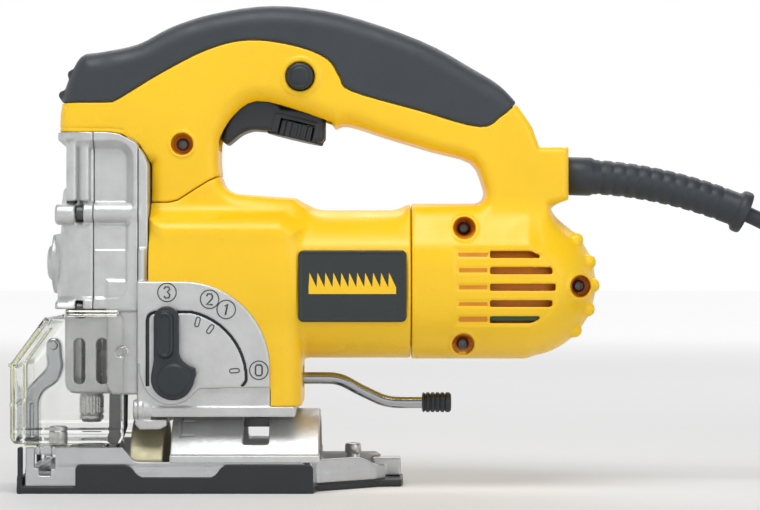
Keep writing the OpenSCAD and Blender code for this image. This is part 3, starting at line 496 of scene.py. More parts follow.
# Chrome base colour darkened as painted reflection, standing in for the dark surroundings it would mirror.
CHROME_PAINTED_REFLECTION = surface_material("bright_chrome", srgb(178, 181, 184), 0.12, metallic=1.0, grain=0.012,
                          grain_size=1.5, mottle=0.04, rough_vary=0.05)
COPPER = surface_material("copper", srgb(184, 110, 62), 0.35, metallic=0.9, grain=0.15, grain_size=0.8,
                          streak=1)
BRONZE = surface_material("bronze", srgb(176, 140, 78), 0.4, metallic=0.9, grain=0.05, grain_size=0.4)
CLEAR = clear_material("clear_plastic", (0.985, 0.99, 0.975), 0.02)
# Stronger yellow-green tint for the shield's edges: painted glow of light carried through the clear plastic.
CLEAR_PAINTED_GLOW = clear_material("clear_painted_edge_glow", (0.86, 0.9, 0.5), 0.08)
CORD_BLACK = surface_material("cord_rubber", srgb(42, 48, 54), 0.5, grain=0.05, grain_size=0.6,
                              mottle=0.08, mottle_size=15)
CARBON = surface_material("carbon", srgb(40, 40, 42), 0.6, grain=0.05, grain_size=0.3)
BOARD = surface_material("board", srgb(30, 92, 50), 0.35, grain=0.03, grain_size=0.8)
BLACK = surface_material("black_plastic", srgb(32, 36, 40), 0.4, grain=0.05, grain_size=0.5, mottle=0.08)
SHOE_STEEL = surface_material("shoe_steel", srgb(196, 198, 200), 0.34, metallic=0.9, grain=0.03,
                              grain_size=0.4, mottle=0.06, mottle_size=14, streak=0)
BY_SLOT = {"yellow_plastic": YELLOW, "soft_grip": SLATE_GRIP, "dark_plastic": DARK, "label": LABEL,
           "cast_metal": CAST, "arch_metal": OLIVE_PAINTED_SHADE, "steel": STEEL, "dark_steel": DARK_STEEL,
           "bright_chrome": CHROME_PAINTED_REFLECTION, "copper": COPPER, "bronze": BRONZE, "clear_plastic": CLEAR,
           "cord_rubber": CORD_BLACK, "carbon": CARBON, "board": BOARD}


def dress_cad_nodes():
    """Every carried-over CAD node takes its slot's material and softly broken edges."""
    for part in frame["record"]["subparts"]:
        obj = nodes[part["node"]]
        obj.data.materials.clear()
        obj.data.materials.append(BY_SLOT[part["material_slot"]])
        weld = obj.modifiers.new("weld", "WELD")
        weld.merge_threshold = 0.00001
        soft = obj.modifiers.new("edges", "BEVEL")
        soft.width = 0.0003
        soft.segments = 2
        soft.limit_method = "ANGLE"
        soft.angle_limit = math.radians(35)
        soft.harden_normals = True


# ---- Cord, guard and plug ----
def guard_point(along):
    """Place and direction on the guard's curved centre line, along from 0 to 1."""
    a = GUARD_ANGLE * along
    place = (GUARD_START[0] + GUARD_BEND * math.sin(a), 0.0, GUARD_START[1] - GUARD_BEND * (1 - math.cos(a)))
    return place, (math.cos(a), 0.0, -math.sin(a))


GUARD_END = guard_point(1)[0]
CORD_ROUTE = [GUARD_END, (295, -0.8, 111.6), (307.5, -3.2, 101.6), (318, -7, 88.4), (326, -11.5, 73),
              (333, -16.2, 57), (340, -21.2, 40), (347.5, -26.2, 25.5), (356.5, -31, 13.4),
              (366.4, -34.7, 6.3), (373.2, -36, 4.2)]
COIL_OUT = COIL_R + CORD_D
CORD_LIES_Z = CORD_D / 2 + 0.1
TAIL_R = 30.25
TAIL_CENTRE = (COIL_CENTRE[0], COIL_CENTRE[1] - COIL_R + TAIL_R)
TAIL_LOW = (COIL_TURNS - 0.5) * CORD_D + 0.1
PLUG = (COIL_CENTRE[0], TAIL_CENTRE[1] + TAIL_R, COIL_TURNS * CORD_D + 13.5)


def around(centre, r, angle, z):
    """A point on a level circle, angle in degrees."""
    a = math.radians(angle)
    return (centre[0] + r * math.cos(a), centre[1] + r * math.sin(a), z)


def entry_points(step=7.5):
    """From the floor beside the coil into its lowest outer turn."""
    return [around(COIL_CENTRE, COIL_OUT + CORD_D * (1 - float(ramp(a, -105, 15))), a, CORD_LIES_Z)
            for a in np.arange(-90, 14, step)]


def coil_points(per_turn=24):
    """Three layers of turns: inwards, outwards, inwards, each stepping over in the same third."""
    points = []
    total = 2 * COIL_TURNS + 1 + 255 / 360
    for i in range(int(total * per_turn) + 1):
        turns = i / per_turn
        layer = min(int(turns / COIL_TURNS), 2)
        whole = int(turns)
        place = whole - layer * COIL_TURNS
        shift = float(ramp(turns - whole, 0.667, 1.0))
        inwards = layer != 1
        last = place == COIL_TURNS - 1
        ring = place + (0 if last else shift)
        r = COIL_OUT - CORD_D * ring if inwards else COIL_OUT - CORD_D * (COIL_TURNS - 1 - ring)
        z = CORD_LIES_Z + CORD_D * layer
        if last and layer < 2:
            z += CORD_D * shift
            r += (-3.0 if inwards else 3.0) * math.sin(math.pi * shift)
        points.append(around(COIL_CENTRE, r, 15 + 360 * turns, z))
    return points


def tail_points():
    """Off the top of the coil and round into the plug that lies on it."""
    return [around(TAIL_CENTRE, TAIL_R, a, TAIL_LOW + (PLUG[2] - TAIL_LOW) * float(ramp(a, -120, 90)))
            for a in range(-80, 91, 10)]


def tube_curve(name, points, r):
    """A round cord along points, as a curve of one open spline."""
    data = bpy.data.curves.new(name, "CURVE")
    data.dimensions = "3D"
    data.bevel_depth = r * MM
    data.bevel_resolution = 5
    data.use_fill_caps = True
    spline = data.splines.new("POLY")
    spline.points.add(len(points) - 1)
    for p, q in zip(spline.points, points):
        p.co = (*(c * MM for c in q), 1)
    spline.use_smooth = True
    return link_object(name, data)


def make_cord():
    """The whole cord, from the guard's tip through the coil to the plug."""
    inner = guard_point(0.8)[0]
    points = curve([inner] + CORD_ROUTE, 4) + entry_points() + coil_points() + tail_points()
    cord = tube_curve("mains_cord", points, CORD_D / 2)
    finish_piece(cord, "housing", CORD_BLACK, ("cord", "cord_coil"))
    plug = make_plug()


def ring_loft(name, sections, sides):
    """A closed tube through sections of (place, direction, radius)."""
    verts = []
    for place, way, r in sections:
        up = np.cross(np.array(way) / np.linalg.norm(way), (0, 1, 0))
        for k in range(sides):
            a = 2 * math.pi * k / sides
            verts.append(np.array(place) + r * math.cos(a) * np.array((0, 1, 0)) + r * math.sin(a) * up)
    return closed_object(name, verts, tube_faces(len(sections), sides))


def tube_mesh(name, points, r, sides=8):
    """A thin round bead along points in a plane square to Y, as a mesh."""
    p = np.array(points, float)
    ways = np.gradient(p, axis=0)
    return ring_loft(name, [(q, w, r) for q, w in zip(p, ways)], sides)


GUARD_R = 7.5
GUARD_RIBS = 11


def make_guard():
    """Tapered bend guard: collar at the housing, shallow ribs, and a flared tip."""
    profile = [(-0.05, 3.9), (0.0, 3.9), (0.0, 8.0), (0.006, 8.3), (0.13, 8.3), (0.14, 7.9), (0.15, GUARD_R)]
    for i in range(GUARD_RIBS):
        at = 0.17 + 0.066 * i
        r = GUARD_R - 0.02 * i
        profile += [(at, r), (at + 0.008, r - 0.35), (at + 0.022, r - 0.35), (at + 0.03, r)]
    profile += [(0.93, 7.2), (0.94, 7.6), (0.95, 8.9), (0.965, 9.3), (0.99, 9.2), (1.0, 8.7), (1.0, 4.2),
                (0.97, 3.7)]
    guard = ring_loft("bend_guard", [(*guard_point(at), r) for at, r in profile], 56)
    finish_piece(guard, "housing", CORD_BLACK, ("cord_guard",))


PIN_PITCH = 19.0


def plug_field(p):
    """Plug: tapered relief with grooves, flat face and ribbed grip."""
    x, y, z = p[0], p[1] - PLUG[1], p[2] - PLUG[2]
    back = PLUG[0]
    round_part = np.hypot(y, z)
    relief = slab(round_part - (4.6 + (back - x) * 0.16), x, 9.5, 0.6, back - 8.8)
    for i in range(4):
        relief = cut(relief, np.hypot(x - (back - 3 - 3.6 * i), round_part - 6.6) - 0.9)
    face = slab(np.hypot(np.maximum(np.abs(y) - 5, 0), z) - 12.8, x, 17, 2.5, back - 34)
    body = join(relief, face, 3)
    for i in range(5):
        body = cut(body, np.hypot(x - (back - 25 - 4 * i), np.abs(z) - 13.4) - 1.1)
    return body


def make_plug():
    """Two-pin plug with round nickel pins."""
    around_plug = [(c - lo, c + hi) for c, lo, hi in zip(PLUG, (52, 19, 16), (2, 19, 16))]
    body = skin("plug_body", around_plug, plug_field, SMALL_STEP * 1.4)
    start = PLUG[0] - 49
    shape = [(0, 2.4), (0.1, 2.4), (17.5, 2.4), (19.6, 2.1), (20.6, 1.4), (21, 0.5)]
    for s in (-1, 1):
        y = PLUG[1] + s * PIN_PITCH / 2
        pin = ring_loft("plug_pin", [((start - a, y, PLUG[2]), (-1, 0, 0), r) for a, r in shape], 24)
        finish_piece(pin, "housing", CHROME_PAINTED_REFLECTION, ())
        pin.parent = body
    return finish_piece(body, "housing", CORD_BLACK, ("plug",))


# ---- Yellow shells and the soft grip ----
DOME_X = 184.0
DOME_R = 31.4
# Where one moulding ends and the next begins, in x and z
HOUSING_REGION = ([(10, 20), (10, 123.5), (31.5, 123.5), (35.3, 124.4), (42.3, 129), (47.8, 132.4),
                   (52.5, 134.7), (60, 139), (135.1, 139), (135.1, 20)])
CASE_REGION = [(-40, 20), (-40, 153.4), (5.3, 153.3), (11, 152.5), (18.1, 148.6), (21.7, 143.2),
               (23.3, 139), (23.3, 20)]
SHROUD = [(23.4, 10), (23.4, 117), (80, 117), (88.4, 112), (88.4, 10)]
# Vent slots: height of each row and where it ends
SLOT_ROWS = [(101.1, 189.6), (94.2, 194.8), (87.2, 196.3), (80.3, 194.8), (73.5, 189.4)]
SLOT_HALF = 1.4
SLOT_FROM = 168.5
GROOVE_X = (154.6, 168.0)
WELL_BOSS_R = 6.3
WELL_RIM_R = 5.3
SCREW_BORE_R = 1.6
LOCK_RIM_R = 7.4
LOCK_BORE_R = 6.2
TRIGGER_SLOT_HALF = 12.2
PANEL = ([(153.5, 70.7), (153.5, 103.8)]
         + [(182.9 + 14.6 * math.cos(a), 87.25 + 16.5 * math.sin(a))
            for a in [math.radians(90 - 15 * i) for i in range(13)]])
LABEL_BOX = ((87.1, 133.1), (72.5, 102.9))


def rounded_flat(u, v, lo, hi, r):
    """Distance to a rectangle with round corners."""
    a = np.abs(u - (lo[0] + lo[1]) / 2) - (lo[1] - lo[0]) / 2 + r
    b = np.abs(v - (hi[0] + hi[1]) / 2) - (hi[1] - hi[0]) / 2 + r
    return np.hypot(np.maximum(a, 0), np.maximum(b, 0)) + np.minimum(np.maximum(a, b), 0) - r


def yellow_outer(p):
    """Outside of the handle, barrel, shroud and rear dome as one smooth body."""
    x, y, z = p
    flat = outline(HANDLE_OUTLINE, x, z)
    edge = 3.0 + 5.5 * (1 - ramp(x, 164, 186)) * (0.45 + 0.55 * ramp(z, 150, 170))
    handle = slab(flat, y, HANDLE_HALF, edge)
    up = z - MOTOR_Z
    round_part = np.hypot(y, up) - BARREL_R - 0.4 * (x > BARREL_END_X + 0.1)
    barrel = np.maximum(meet(round_part, np.abs(y) - BARREL_HALF - 0.2, 4), 20 - x)
    ball = np.sqrt(np.maximum(x - DOME_X, 0) ** 2 + y * y + up * up) - DOME_R - 1.0 * (1 - ramp(x, 184, 190))
    barrel = np.where(x > DOME_X - 0.01, meet(ball, np.abs(y) - BARREL_HALF - 0.2, 4), barrel)
    shroud = slab(outline(SHROUD, x, z), y, BARREL_HALF, 8.0)
    body = join(barrel, np.maximum(shroud, 36.6 - z), 3)
    return join(handle, body, 10)


def dome_nubs(p):
    """Five short ribs over the back of the dome."""
    x, y, z = p
    out = None
    for angle in (-42.5, -21.5, -1, 19, 40.5):
        a = math.radians(angle)
        cx = DOME_X + 29.2 * math.cos(a)
        cz = MOTOR_Z + 29.2 * math.sin(a)
        side_way = np.maximum(np.abs(y) - 11.0, 0)
        nub = np.sqrt((x - cx) ** 2 + (z - cz) ** 2 + side_way ** 2) - 3.2
        out = nub if out is None else np.minimum(out, nub)
    return out


def with_recesses(d, outer, p, side_sign):
    """Screw wells with raised rims and stepped sides, in one half."""
    x, y, z = p
    for sx, sz, depth in SCREWS:
        rho = np.hypot(x - sx, z - sz)
        boss = overlap(rho - WELL_BOSS_R, outer, np.abs(y) - 40)
        d = np.minimum(d, boss)
        if side_sign < 0:
            rim = np.maximum(np.abs(rho - WELL_RIM_R) - 0.5, outer - 0.45)
            d = join(d, rim, 0.7)
            step_in = np.where(outer > -4.0, 4.7, np.where(outer > -6.5, 4.0, 3.2))
            d = cut(d, np.maximum(rho - step_in, depth - 0.4 + y), 0.5)
            d = cut(d, rho - SCREW_BORE_R)
    return d


def case_gap(p):
    """Distance outside the gear case's profile."""
    return outline(CASE_REGION, p[0], p[2])


def handle_half(p, s):
    """One moulded half of the handle and rear barrel."""
    x, y, z = p
    outer = yellow_outer(p)
    outer = np.where(x > 180, join(outer, dome_nubs(p), 1.2), outer)
    pad = outline(PAD_OUTLINE, x, z)
    case = case_gap(p)
    housing = outline(HOUSING_REGION, x, z)
    d = cut(outer, np.maximum(pad, -(outer + PAD)) - 0.12)
    wall = WALL + PAD * (1 - ramp(pad, -1, 2.5))
    cavity = np.maximum(outer + wall, 3.0 - case)
    d = np.maximum(d, -cavity)
    d = with_recesses(d, outer, p, s)
    panel = outline(PANEL, x, z)
    d = cut(d, np.maximum(panel, -(outer + 0.4)), 0.5)
    baffle = np.maximum(np.abs(outer + 6.4) - 0.7, panel - 4.0)
    d = np.minimum(d, np.maximum(baffle, 12 - np.abs(y)))
    for row, end in SLOT_ROWS:
        slot = rounded_flat(x, z, (SLOT_FROM, end), (row - SLOT_HALF, row + SLOT_HALF), 0.4)
        slot = np.maximum(slot, panel + 1.0)
        d = cut(d, np.maximum(slot, -(outer + 5.0)), 0.4)
        blind = rounded_flat(x, z, GROOVE_X, (row - SLOT_HALF, row + SLOT_HALF), 0.4)
        d = cut(d, np.maximum(blind, -(outer + 0.8)), 0.3)
    d = cut(d, overlap(np.abs(case - 1.9) - 0.25, -(outer + 0.45), x - 12), 0.3)
    lock = np.hypot(x - LOCK[0], z - LOCK[1])
    if s < 0:
        rim = np.maximum(np.abs(lock - LOCK_RIM_R) - 0.9, outer - 0.5)
        d = join(d, rim, 1.0)
        d = cut(d, np.maximum(lock - LOCK_BORE_R, 9 + y), 0.4)
    trigger = outline([(51.5, 146.5), (100.6, 147), (101, 160), (101, 182), (58, 182), (50.2, 160)], x, z)
    d = cut(d, np.maximum(trigger, np.abs(y) - TRIGGER_SLOT_HALF), 0.8)
    d = cut(d, rod(p, 0, (0, GUARD_START[1]), 4.2, 180, 215))
    d = cut(d, housing - GAP, 0.7)
    d = cut(d, case - 0.3, 0.6)
    return np.maximum(d, s * -y + 0.04)


def grip_half(p, s):
    """Soft pad over one half: slightly proud, with rounded edges and nose ribs."""
    x, y, z = p
    outer = yellow_outer(p)
    pad = outline(PAD_OUTLINE, x, z)
    proud = outer - 0.35
    for rx, rz in ((-10.6, 178.5), (-14.4, 169.6)):
        rib = np.maximum(np.hypot(x - rx, z - rz) - 2.0, np.abs(y) - 12)
        proud = join(proud, rib, 1.2)
    d = meet(proud, pad + 0.25, 1.1)
    d = np.maximum(d, -(outer + PAD))
    return np.maximum(d, s * -y + 0.04)


def housing_field(p):
    """Front barrel, saddle and skirt."""
    x, y, z = p
    outer = yellow_outer(p)
    region = outline(HOUSING_REGION, x, z)
    label = rounded_flat(x, z, (LABEL_BOX[0][0] - 0.5, LABEL_BOX[0][1] + 0.5),
                         (LABEL_BOX[1][0] - 0.5, LABEL_BOX[1][1] + 0.5), 2.8)
    d = cut(outer, np.maximum(label, BARREL_HALF - 0.9 - np.abs(y)), 0.5)
    cavity = np.maximum(outer + WALL, np.where(z < 120, -50.0, 3.0 + region))
    d = np.maximum(d, -cavity)
    d = cut(d, block(p, (70, 85.5), (-26.5, 26.5), (20, 56)))
    d = cut(d, block(p, (80, 92), (-4.5, 19), (42.7, 52.4), 1.5), 0.4)
    under = outline([(10, 20), (10, 56), (62, 56), (75.4, 44), (75.4, 20)], x, z)
    d = np.maximum(d, -under)
    d = meet(d, region + GAP, 0.7)
    return np.maximum(d, BULKHEAD_X + 0.15 - x)


def shade_wells(obj):
    """Second material, a darker yellow of painted shade, on the faces inside the screw wells and behind the
    vent slots.
    """
    x, y, z = face_data(obj.data, "center") / MM
    skin_depth = yellow_outer((x, y, z))
    painted_shade_faces = (outline(PANEL, x, z) < -0.6) & (x > 154) & (skin_depth < -0.75)
    for sx, sz, depth in SCREWS:
        painted_shade_faces |= (np.hypot(x - sx, z - sz) < 5.2) & (y < -depth + 1) & (skin_depth < -0.9)
    use_second_material(obj, painted_shade_faces)


def make_yellow():
    """Both handle halves, the grip pads and the motor housing."""
    coarse = STEP * 1.2
    for s, side_name in ((-1, "left"), (1, "right")):
        ys = (-33, 0.3) if s < 0 else (-0.3, 33)
        shell = skin_piece("handle_half_" + side_name, [(-17.5, 218), ys, (54.5, 209)],
                           lambda p, s=s: handle_half(p, s), coarse, "housing", [YELLOW, YELLOW_PAINTED_SHADE],
                           "handle_shell_" + side_name)
        shade_wells(shell)
        ys = (-19.5, 0.3) if s < 0 else (-0.3, 19.5)
        skin_piece("grip_" + side_name, [(-18, 190), ys, (152, 209.5)], lambda p, s=s: grip_half(p, s),
                   STEP, "housing", SLATE_GRIP, "grip_pad_" + side_name)
    skin_piece("motor_cover", [(22.5, 136), (-31, 31), (35.5, 138)], housing_field, coarse, "housing",
               YELLOW, "motor_housing")


# ---- Gear case castings ----
CASE_PROFILE = [(23.3, 41.5), (23.3, 139), (21.7, 143.2), (18.1, 148.6), (11, 152.4), (5.3, 153.2),
                (-22, 153.3), (-22, 77.9), (6, 77.9), (6, 41.5)]
COVER_FRONT = ([(24, 153.4), (-16.1, 153.4), (-16.1, 150.2), (-11.2, 146), (-11.6, 131)]
               + curve([(-14.2, 128.8), (-16.2, 120), (-17.9, 111.4), (-18.9, 98), (-17.4, 86),
                        (-15.8, 77.5)], 4) + [(-12.6, 74), (24, 74)])
NOSE = [(-12.6, 47), (-12.0, 44.2), (-10.2, 42.2), (-8, 41.8), (6.4, 41.8), (6.4, 80), (-12.6, 80)]
COVER_SEAM_X = 0.0
REAR_SEAM_X = 19.1
KNOB_Z = 97.6
BOSS_Y = 23.4
BOSS_ZS = (118.8, 77.9)
DIAL_ARC_R = 36.8
DIAL_FACE = ([(REAR_SEAM_X, 36.5), (75.3, 36.5)] + arc((38.5, 53), DIAL_ARC_R, 0, 90, 14)
             + [(REAR_SEAM_X, 89.8)])


def case_plan(p):
    """Distance to the case's plan: straight sides that round into the front."""
    x, y = p[0], p[1]
    front = np.minimum(x + 1.5, 0) / 18.6
    return (np.sqrt(front * front + (y / CASE_HALF) ** 2) - 1) * 24.5


def recess(b, slope, depth):
    """How deep a panel with bevelled edges lies, b the distance to its outline."""
    return np.clip(-b * slope, 0, depth)


def case_solid(p):
    """Outside of the whole gear case, panels and bosses included."""
    x, y, z = p
    upper = rounded_flat(x, z, (-40, 17.4), (79.5, 149.6), 8.0)
    depth = recess(upper, 1.15, 4.2)
    belly = ramp(z, 118, 112) * 2.6 * ramp(x, 30, 14)
    ledge = 0.5 * ramp(z, 103.4, 102.8) * ramp(x, 0.2, 0.8)
    walls = case_plan(p) + np.maximum(depth - belly - ledge, 0)
    d = np.maximum(walls, outline(COVER_FRONT, x, z))
    rib_y = 23.5 - np.abs(y)
    for s_x in (-9.5, -4.0):
        column = np.hypot(x - s_x + 0.35 * rib_y, rib_y) - 2.2
        d = join(d, overlap(column, 124 - z, z - 149), 2.0)
    for z0 in BOSS_ZS:
        boss = rod(mirrored(p), 0, (BOSS_Y, z0), 4.3, -4.4, 19.5, 0.5)
        wing = rod(mirrored(p), 0, (BOSS_Y - 1.0, z0 - 0.6), 4.5, -16.5, -7.6, 1.6)
        wing = np.maximum(wing, -x - 14.5 - (np.abs(y) - 20) * 0.8)
        d = join(join(d, boss, 1.5), wing, 2.0)
    nose_side = slab(outline(NOSE, x, z), y, 22.0, 1.6)
    d = np.maximum(d, outline(CASE_PROFILE, x, z))
    d = np.where(z < 79.6, np.maximum(d, 77.4 - z), d)
    d = join(d, nose_side, 1.0)
    back = outline([(5.8, 45.5), (8, 41.6), (23.3, 41.6), (23.3, 90), (5.8, 90)], x, z)
    return case_relief(join(d, slab(back, y, CASE_HALF, 1.2), 1.5), p)


def case_relief(d, p):
    """The case with its front knob, ring, ribbed panel and window, screw seats and side slots."""
    x, y, z = p
    d = join(d, rod(p, 0, (0, KNOB_Z), 8.2, -22.3, -12, 3.2), 2.5)
    ring = overlap(np.abs(np.hypot(y, z - KNOB_Z) - 12.5) - 0.8, x + 14, -x - 19.6)
    d = join(d, ring, 1.6)
    front_panel = rounded_flat(y, z, (-13, 13), (132.5, 144.5), 3.0)
    d = cut(d, np.maximum(front_panel, x + 9.8), 0.8)
    for rib_at in (-7, 0, 7):
        front_rib = np.maximum(np.hypot(y - rib_at, x + 10.2) - 1.0, np.abs(z - 138.5) - 6.5)
        d = join(d, front_rib, 0.8)
    window = rounded_flat(y, z, (-17, 17), (110, 122), 3.0)
    d = cut(d, np.maximum(window, x + 15.2 - 0.06 * (z - 110)), 0.8)
    for s in (-1, 1):
        for z0 in BOSS_ZS:
            head = np.hypot(np.abs(y) - BOSS_Y, z - z0) - 3.6
            seat = np.maximum(np.minimum(head, np.maximum(np.abs(z - z0) - 3.6, BOSS_Y - np.abs(y))),
                              np.abs(x + 5.95) - 1.6)
            d = cut(d, seat, 0.3)
            d = cut(d, rod(p, 0, (s * BOSS_Y, z0), 2.2, -20, -7))
    for sx in (-8.7, 1.0):
        slot = np.hypot(x - sx - 2.4, np.maximum(np.abs(z - 55.6) - 7.4, 0)) - 2.4
        d = cut(d, np.maximum(slot, 14 - np.abs(y)), 0.5)
    vertical = np.maximum(np.hypot(x - 20.6, (np.abs(y) - 27.0)) - 1.5, np.abs(z - 96) - 7.5)
    return join(d, vertical, 1.5)


def case_inside(p):
    """Room for the gears and the plunger."""
    front_skin = outline(COVER_FRONT, p[0], p[2]) + 3.2
    room = np.maximum(block(p, (-13, 15.5), (-20.5, 20.5), (80.5, 134), 3), case_plan(p) + 3.4)
    room = np.maximum(room, front_skin)
    nose = block(p, (-9.9, 14), (-19.2, 19.2), (44.4, 66.4), 1.5)
    way = block(p, (-9.5, 13.5), (-7, 7), (36, 60), 1)
    rods = rod(p, 2, (PLUNGER_X, 0), 5.4, 36, 160)
    return np.minimum(np.minimum(room, nose), np.minimum(way, rods))


def case_piece(p, x0, x1):
    """The part of the case between two seams."""
    x = p[0]
    d = np.maximum(case_solid(p), -case_inside(p))
    return meet(d, np.maximum(x0 - x, x - x1) + 0.12, 0.5)


LOW_PANEL = [(66, 44.9), (45.5, 44.5), (42.8, 42.2), (39.6, 39.2), (35.8, 37.9), (31.8, 37.7),
             (28.2, 38.8), (25.2, 40.8), (23.2, 43), (21.9, 45.5), (20.4, 50), (20, 54.8), (17, 54.8),
             (17, 30), (90, 30), (90, 44.9)]
SECTOR = ([(23.6, 44.9), (23.6, 73.3)] + arc((26.7, 73.5), 3.1, 180, 90, 4)
          + arc((36.1, 48.2), 29.2, 78, 0, 12) + [(64.8, 47), (62.9, 44.9)])
# Detent slots: x, z and lean in degrees
DETENTS = [(44.7, 72.6, 75), (50.1, 69.6, 55), (60.3, 52.0, 4)]
LUG_Y = 26.5
LUG_Z = 35.2
SCRIBE = 1.4


def dial_back(p):
    """Rear casting: strip against the handle, raised dial face with its recessed sector, and flange."""
    x, y, z = p
    strip = case_piece(p, REAR_SEAM_X, BULKHEAD_X)
    face = slab(outline(DIAL_FACE, x, z), y, DIAL_HALF, 1.0)
    low = outline(LOW_PANEL, x, z)
    sunk = np.maximum(low, DIAL_HALF - 1.7 - np.abs(y))
    face = np.where(y < 0, cut(face, sunk, 0.4), face)
    sector = outline(SECTOR, x, z)
    groove = overlap(np.abs(sector) - 0.5, DIAL_HALF - SCRIBE - np.abs(y), 45.4 - z)
    face = cut(face, groove, 0.2)
    inner = rod(p, 0, (0, MOTOR_Z), BARREL_R - 0.2, 22, 90)
    hollow = np.maximum(outline(DIAL_FACE, x, z) + 4.0, np.abs(y) - DIAL_HALF + 3.4)
    face = np.maximum(face, -overlap(inner, np.abs(y) - BARREL_HALF, 25 - x))
    face = np.maximum(face, -overlap(hollow, 56 - z, 25 - x))
    flange = block(p, (25.2, 85.9), (-30.5, 30.5), (32.3, 36.7), 0.6)
    d = join(join(strip, face, 1.0), flange, 0.6)
    bracket_flat = outline([(18, 31.2), (31.5, 31.2), (31.5, 28.6), (28.5, 27), (20, 27), (18, 29)], x, z)
    lug = rod(mirrored(p), 0, (LUG_Y, LUG_Z), 4.4, 17.2, 25.0, 0.8)
    collar = rod(mirrored(p), 0, (LUG_Y, LUG_Z), 5.0, 19.4, 21.6, 0.5)
    bracket = slab(bracket_flat, np.abs(y), 1.9, 0.8, LUG_Y + 1.4)
    d = join(join(d, np.minimum(lug, collar), 0.8), bracket, 0.8)
    d = np.maximum(d, -(np.hypot(y, z) - ARCH_R - 0.4))
    d = cut(d, block(p, (56, 80), (-10.5, 10.5), (41, 53.5)))
    d = cut(d, block(p, (72, 80), (-10.5, 22), (41, 53.5)))
    d = cut(d, rod(p, 2, (CLAMP_X, 0), 3.2, 20, 60))
    return cut(d, rod(p, 1, HUB, 3.1, -40, -8))


def raised_ring(name, centre, r, half, y, steps=40):
    """A thin raised circle on the dial face."""
    shape = [(-half, 0.0), (-half * 0.5, 0.26), (half * 0.5, 0.26), (half, 0.0)]
    verts = [(centre[0] + (r + a) * math.cos(2 * math.pi * k / steps), y - h,
              centre[1] + (r + a) * math.sin(2 * math.pi * k / steps))
             for k in range(steps) for a, h in shape]
    n = len(shape)
    faces = [(k * n + i, k * n + (i + 1) % n, (k + 1) % steps * n + (i + 1) % n, (k + 1) % steps * n + i)
             for k in range(steps) for i in range(n)]
    return mesh_object(name, verts, faces)


# Strokes of the stage numbers, in half heights
NUMERALS = {
    "0": [[(0.55, 0.9), (0.9, 0.6), (0.9, -0.6), (0.55, -0.9), (-0.55, -0.9), (-0.9, -0.6), (-0.9, 0.6),
           (-0.55, 0.9), (0.55, 0.9)]],
    "1": [[(-0.5, 0.5), (0.1, 0.95), (0.1, -0.95)]],
    "2": [[(-0.8, 0.5), (-0.5, 0.9), (0.5, 0.9), (0.8, 0.5), (0.7, 0.1), (-0.8, -0.9), (0.85, -0.9)]],
    "3": [[(-0.8, 0.6), (-0.4, 0.95), (0.5, 0.9), (0.75, 0.5), (0.1, 0.08), (0.8, -0.4), (0.5, -0.9),
           (-0.4, -0.95), (-0.8, -0.6)]],
}


def make_numeral(digit, centre, size, turn):
    """A raised stage number inside its circle, both drawn dark as painted shade."""
    y = -DIAL_HALF + 0.02
    ring = raised_ring("stage_ring_" + digit, centre, 3.9, 0.26, y)
    finish_piece(ring, "housing", CAST_SHADE, ())
    a = math.radians(turn)
    for stroke in NUMERALS[digit]:
        points = [(centre[0] + size * (0.62 * u * math.cos(a) - v * math.sin(a)), y - 0.02,
                   centre[1] + size * (0.62 * u * math.sin(a) + v * math.cos(a))) for u, v in stroke]
        mark = tube_mesh("stage_number_" + digit, points, 0.36)
        finish_piece(mark, "housing", CAST_SHADE, ())


def make_detent(number, x, z, turn):
    """Raised outline of a detent slot on the dial's sector, drawn dark as painted shade."""
    a = math.radians(turn)
    loop = arc((1.25, 0), 0.85, -90, 90, 5) + arc((-1.25, 0), 0.85, 90, 270, 5)
    loop.append(loop[0])
    points = [(x + u * math.cos(a) - v * math.sin(a), -DIAL_HALF, z + u * math.sin(a) + v * math.cos(a))
              for u, v in loop]
    mark = tube_mesh("detent_%d" % number, points, 0.26)
    finish_piece(mark, "housing", CAST_SHADE, ())


def shade_groove(obj):
    """Second material, a dark painted shade, on the faces inside the groove round the dial's sector."""
    x, y, z = face_data(obj.data, "center") / MM
    below = DIAL_HALF - np.abs(y)
    near = np.abs(outline(SECTOR, x, z)) < 0.62
    use_second_material(obj, near & (below > 0.35) & (below < 1.9) & (z > 45.0))


def make_case():
    """Cover, middle casting and rear casting, with the stage numbers."""
    skin_piece("front_cover", [(-23.5, 0.5), (-28.5, 28.5), (76.5, 154.5)],
               lambda p: np.maximum(case_piece(p, -30, COVER_SEAM_X), 77.9 - p[2]), STEP,
               "housing", CAST, "gear_case_cover")
    skin_piece("middle_case", [(-14.5, 19.6), (-29, 29), (40.5, 154.5)],
               lambda p: np.maximum(case_piece(p, -30, REAR_SEAM_X), np.minimum(0.12 - p[0], p[2] - 77.7)),
               STEP, "housing", CAST, "gear_case")
    back = skin_piece("rear_case", [(16.6, 87), (-33.2, 33.2), (26, 154.5)], dial_back, STEP * 0.9,
                      "housing", [CAST, CAST_SHADE], "gear_case_back")
    shade_groove(back)
    for number, (x, z, turn) in enumerate(DETENTS):
        make_detent(number, x, z, turn)
    for digit, centre, turn in (("3", (31.8, 85.1), 0), ("2", (49.8, 82.2), 0), ("1", (56.8, 77.9), -12),
                                ("0", (70.6, 52.2), 0)):
        make_numeral(digit, centre, 2.5, turn)


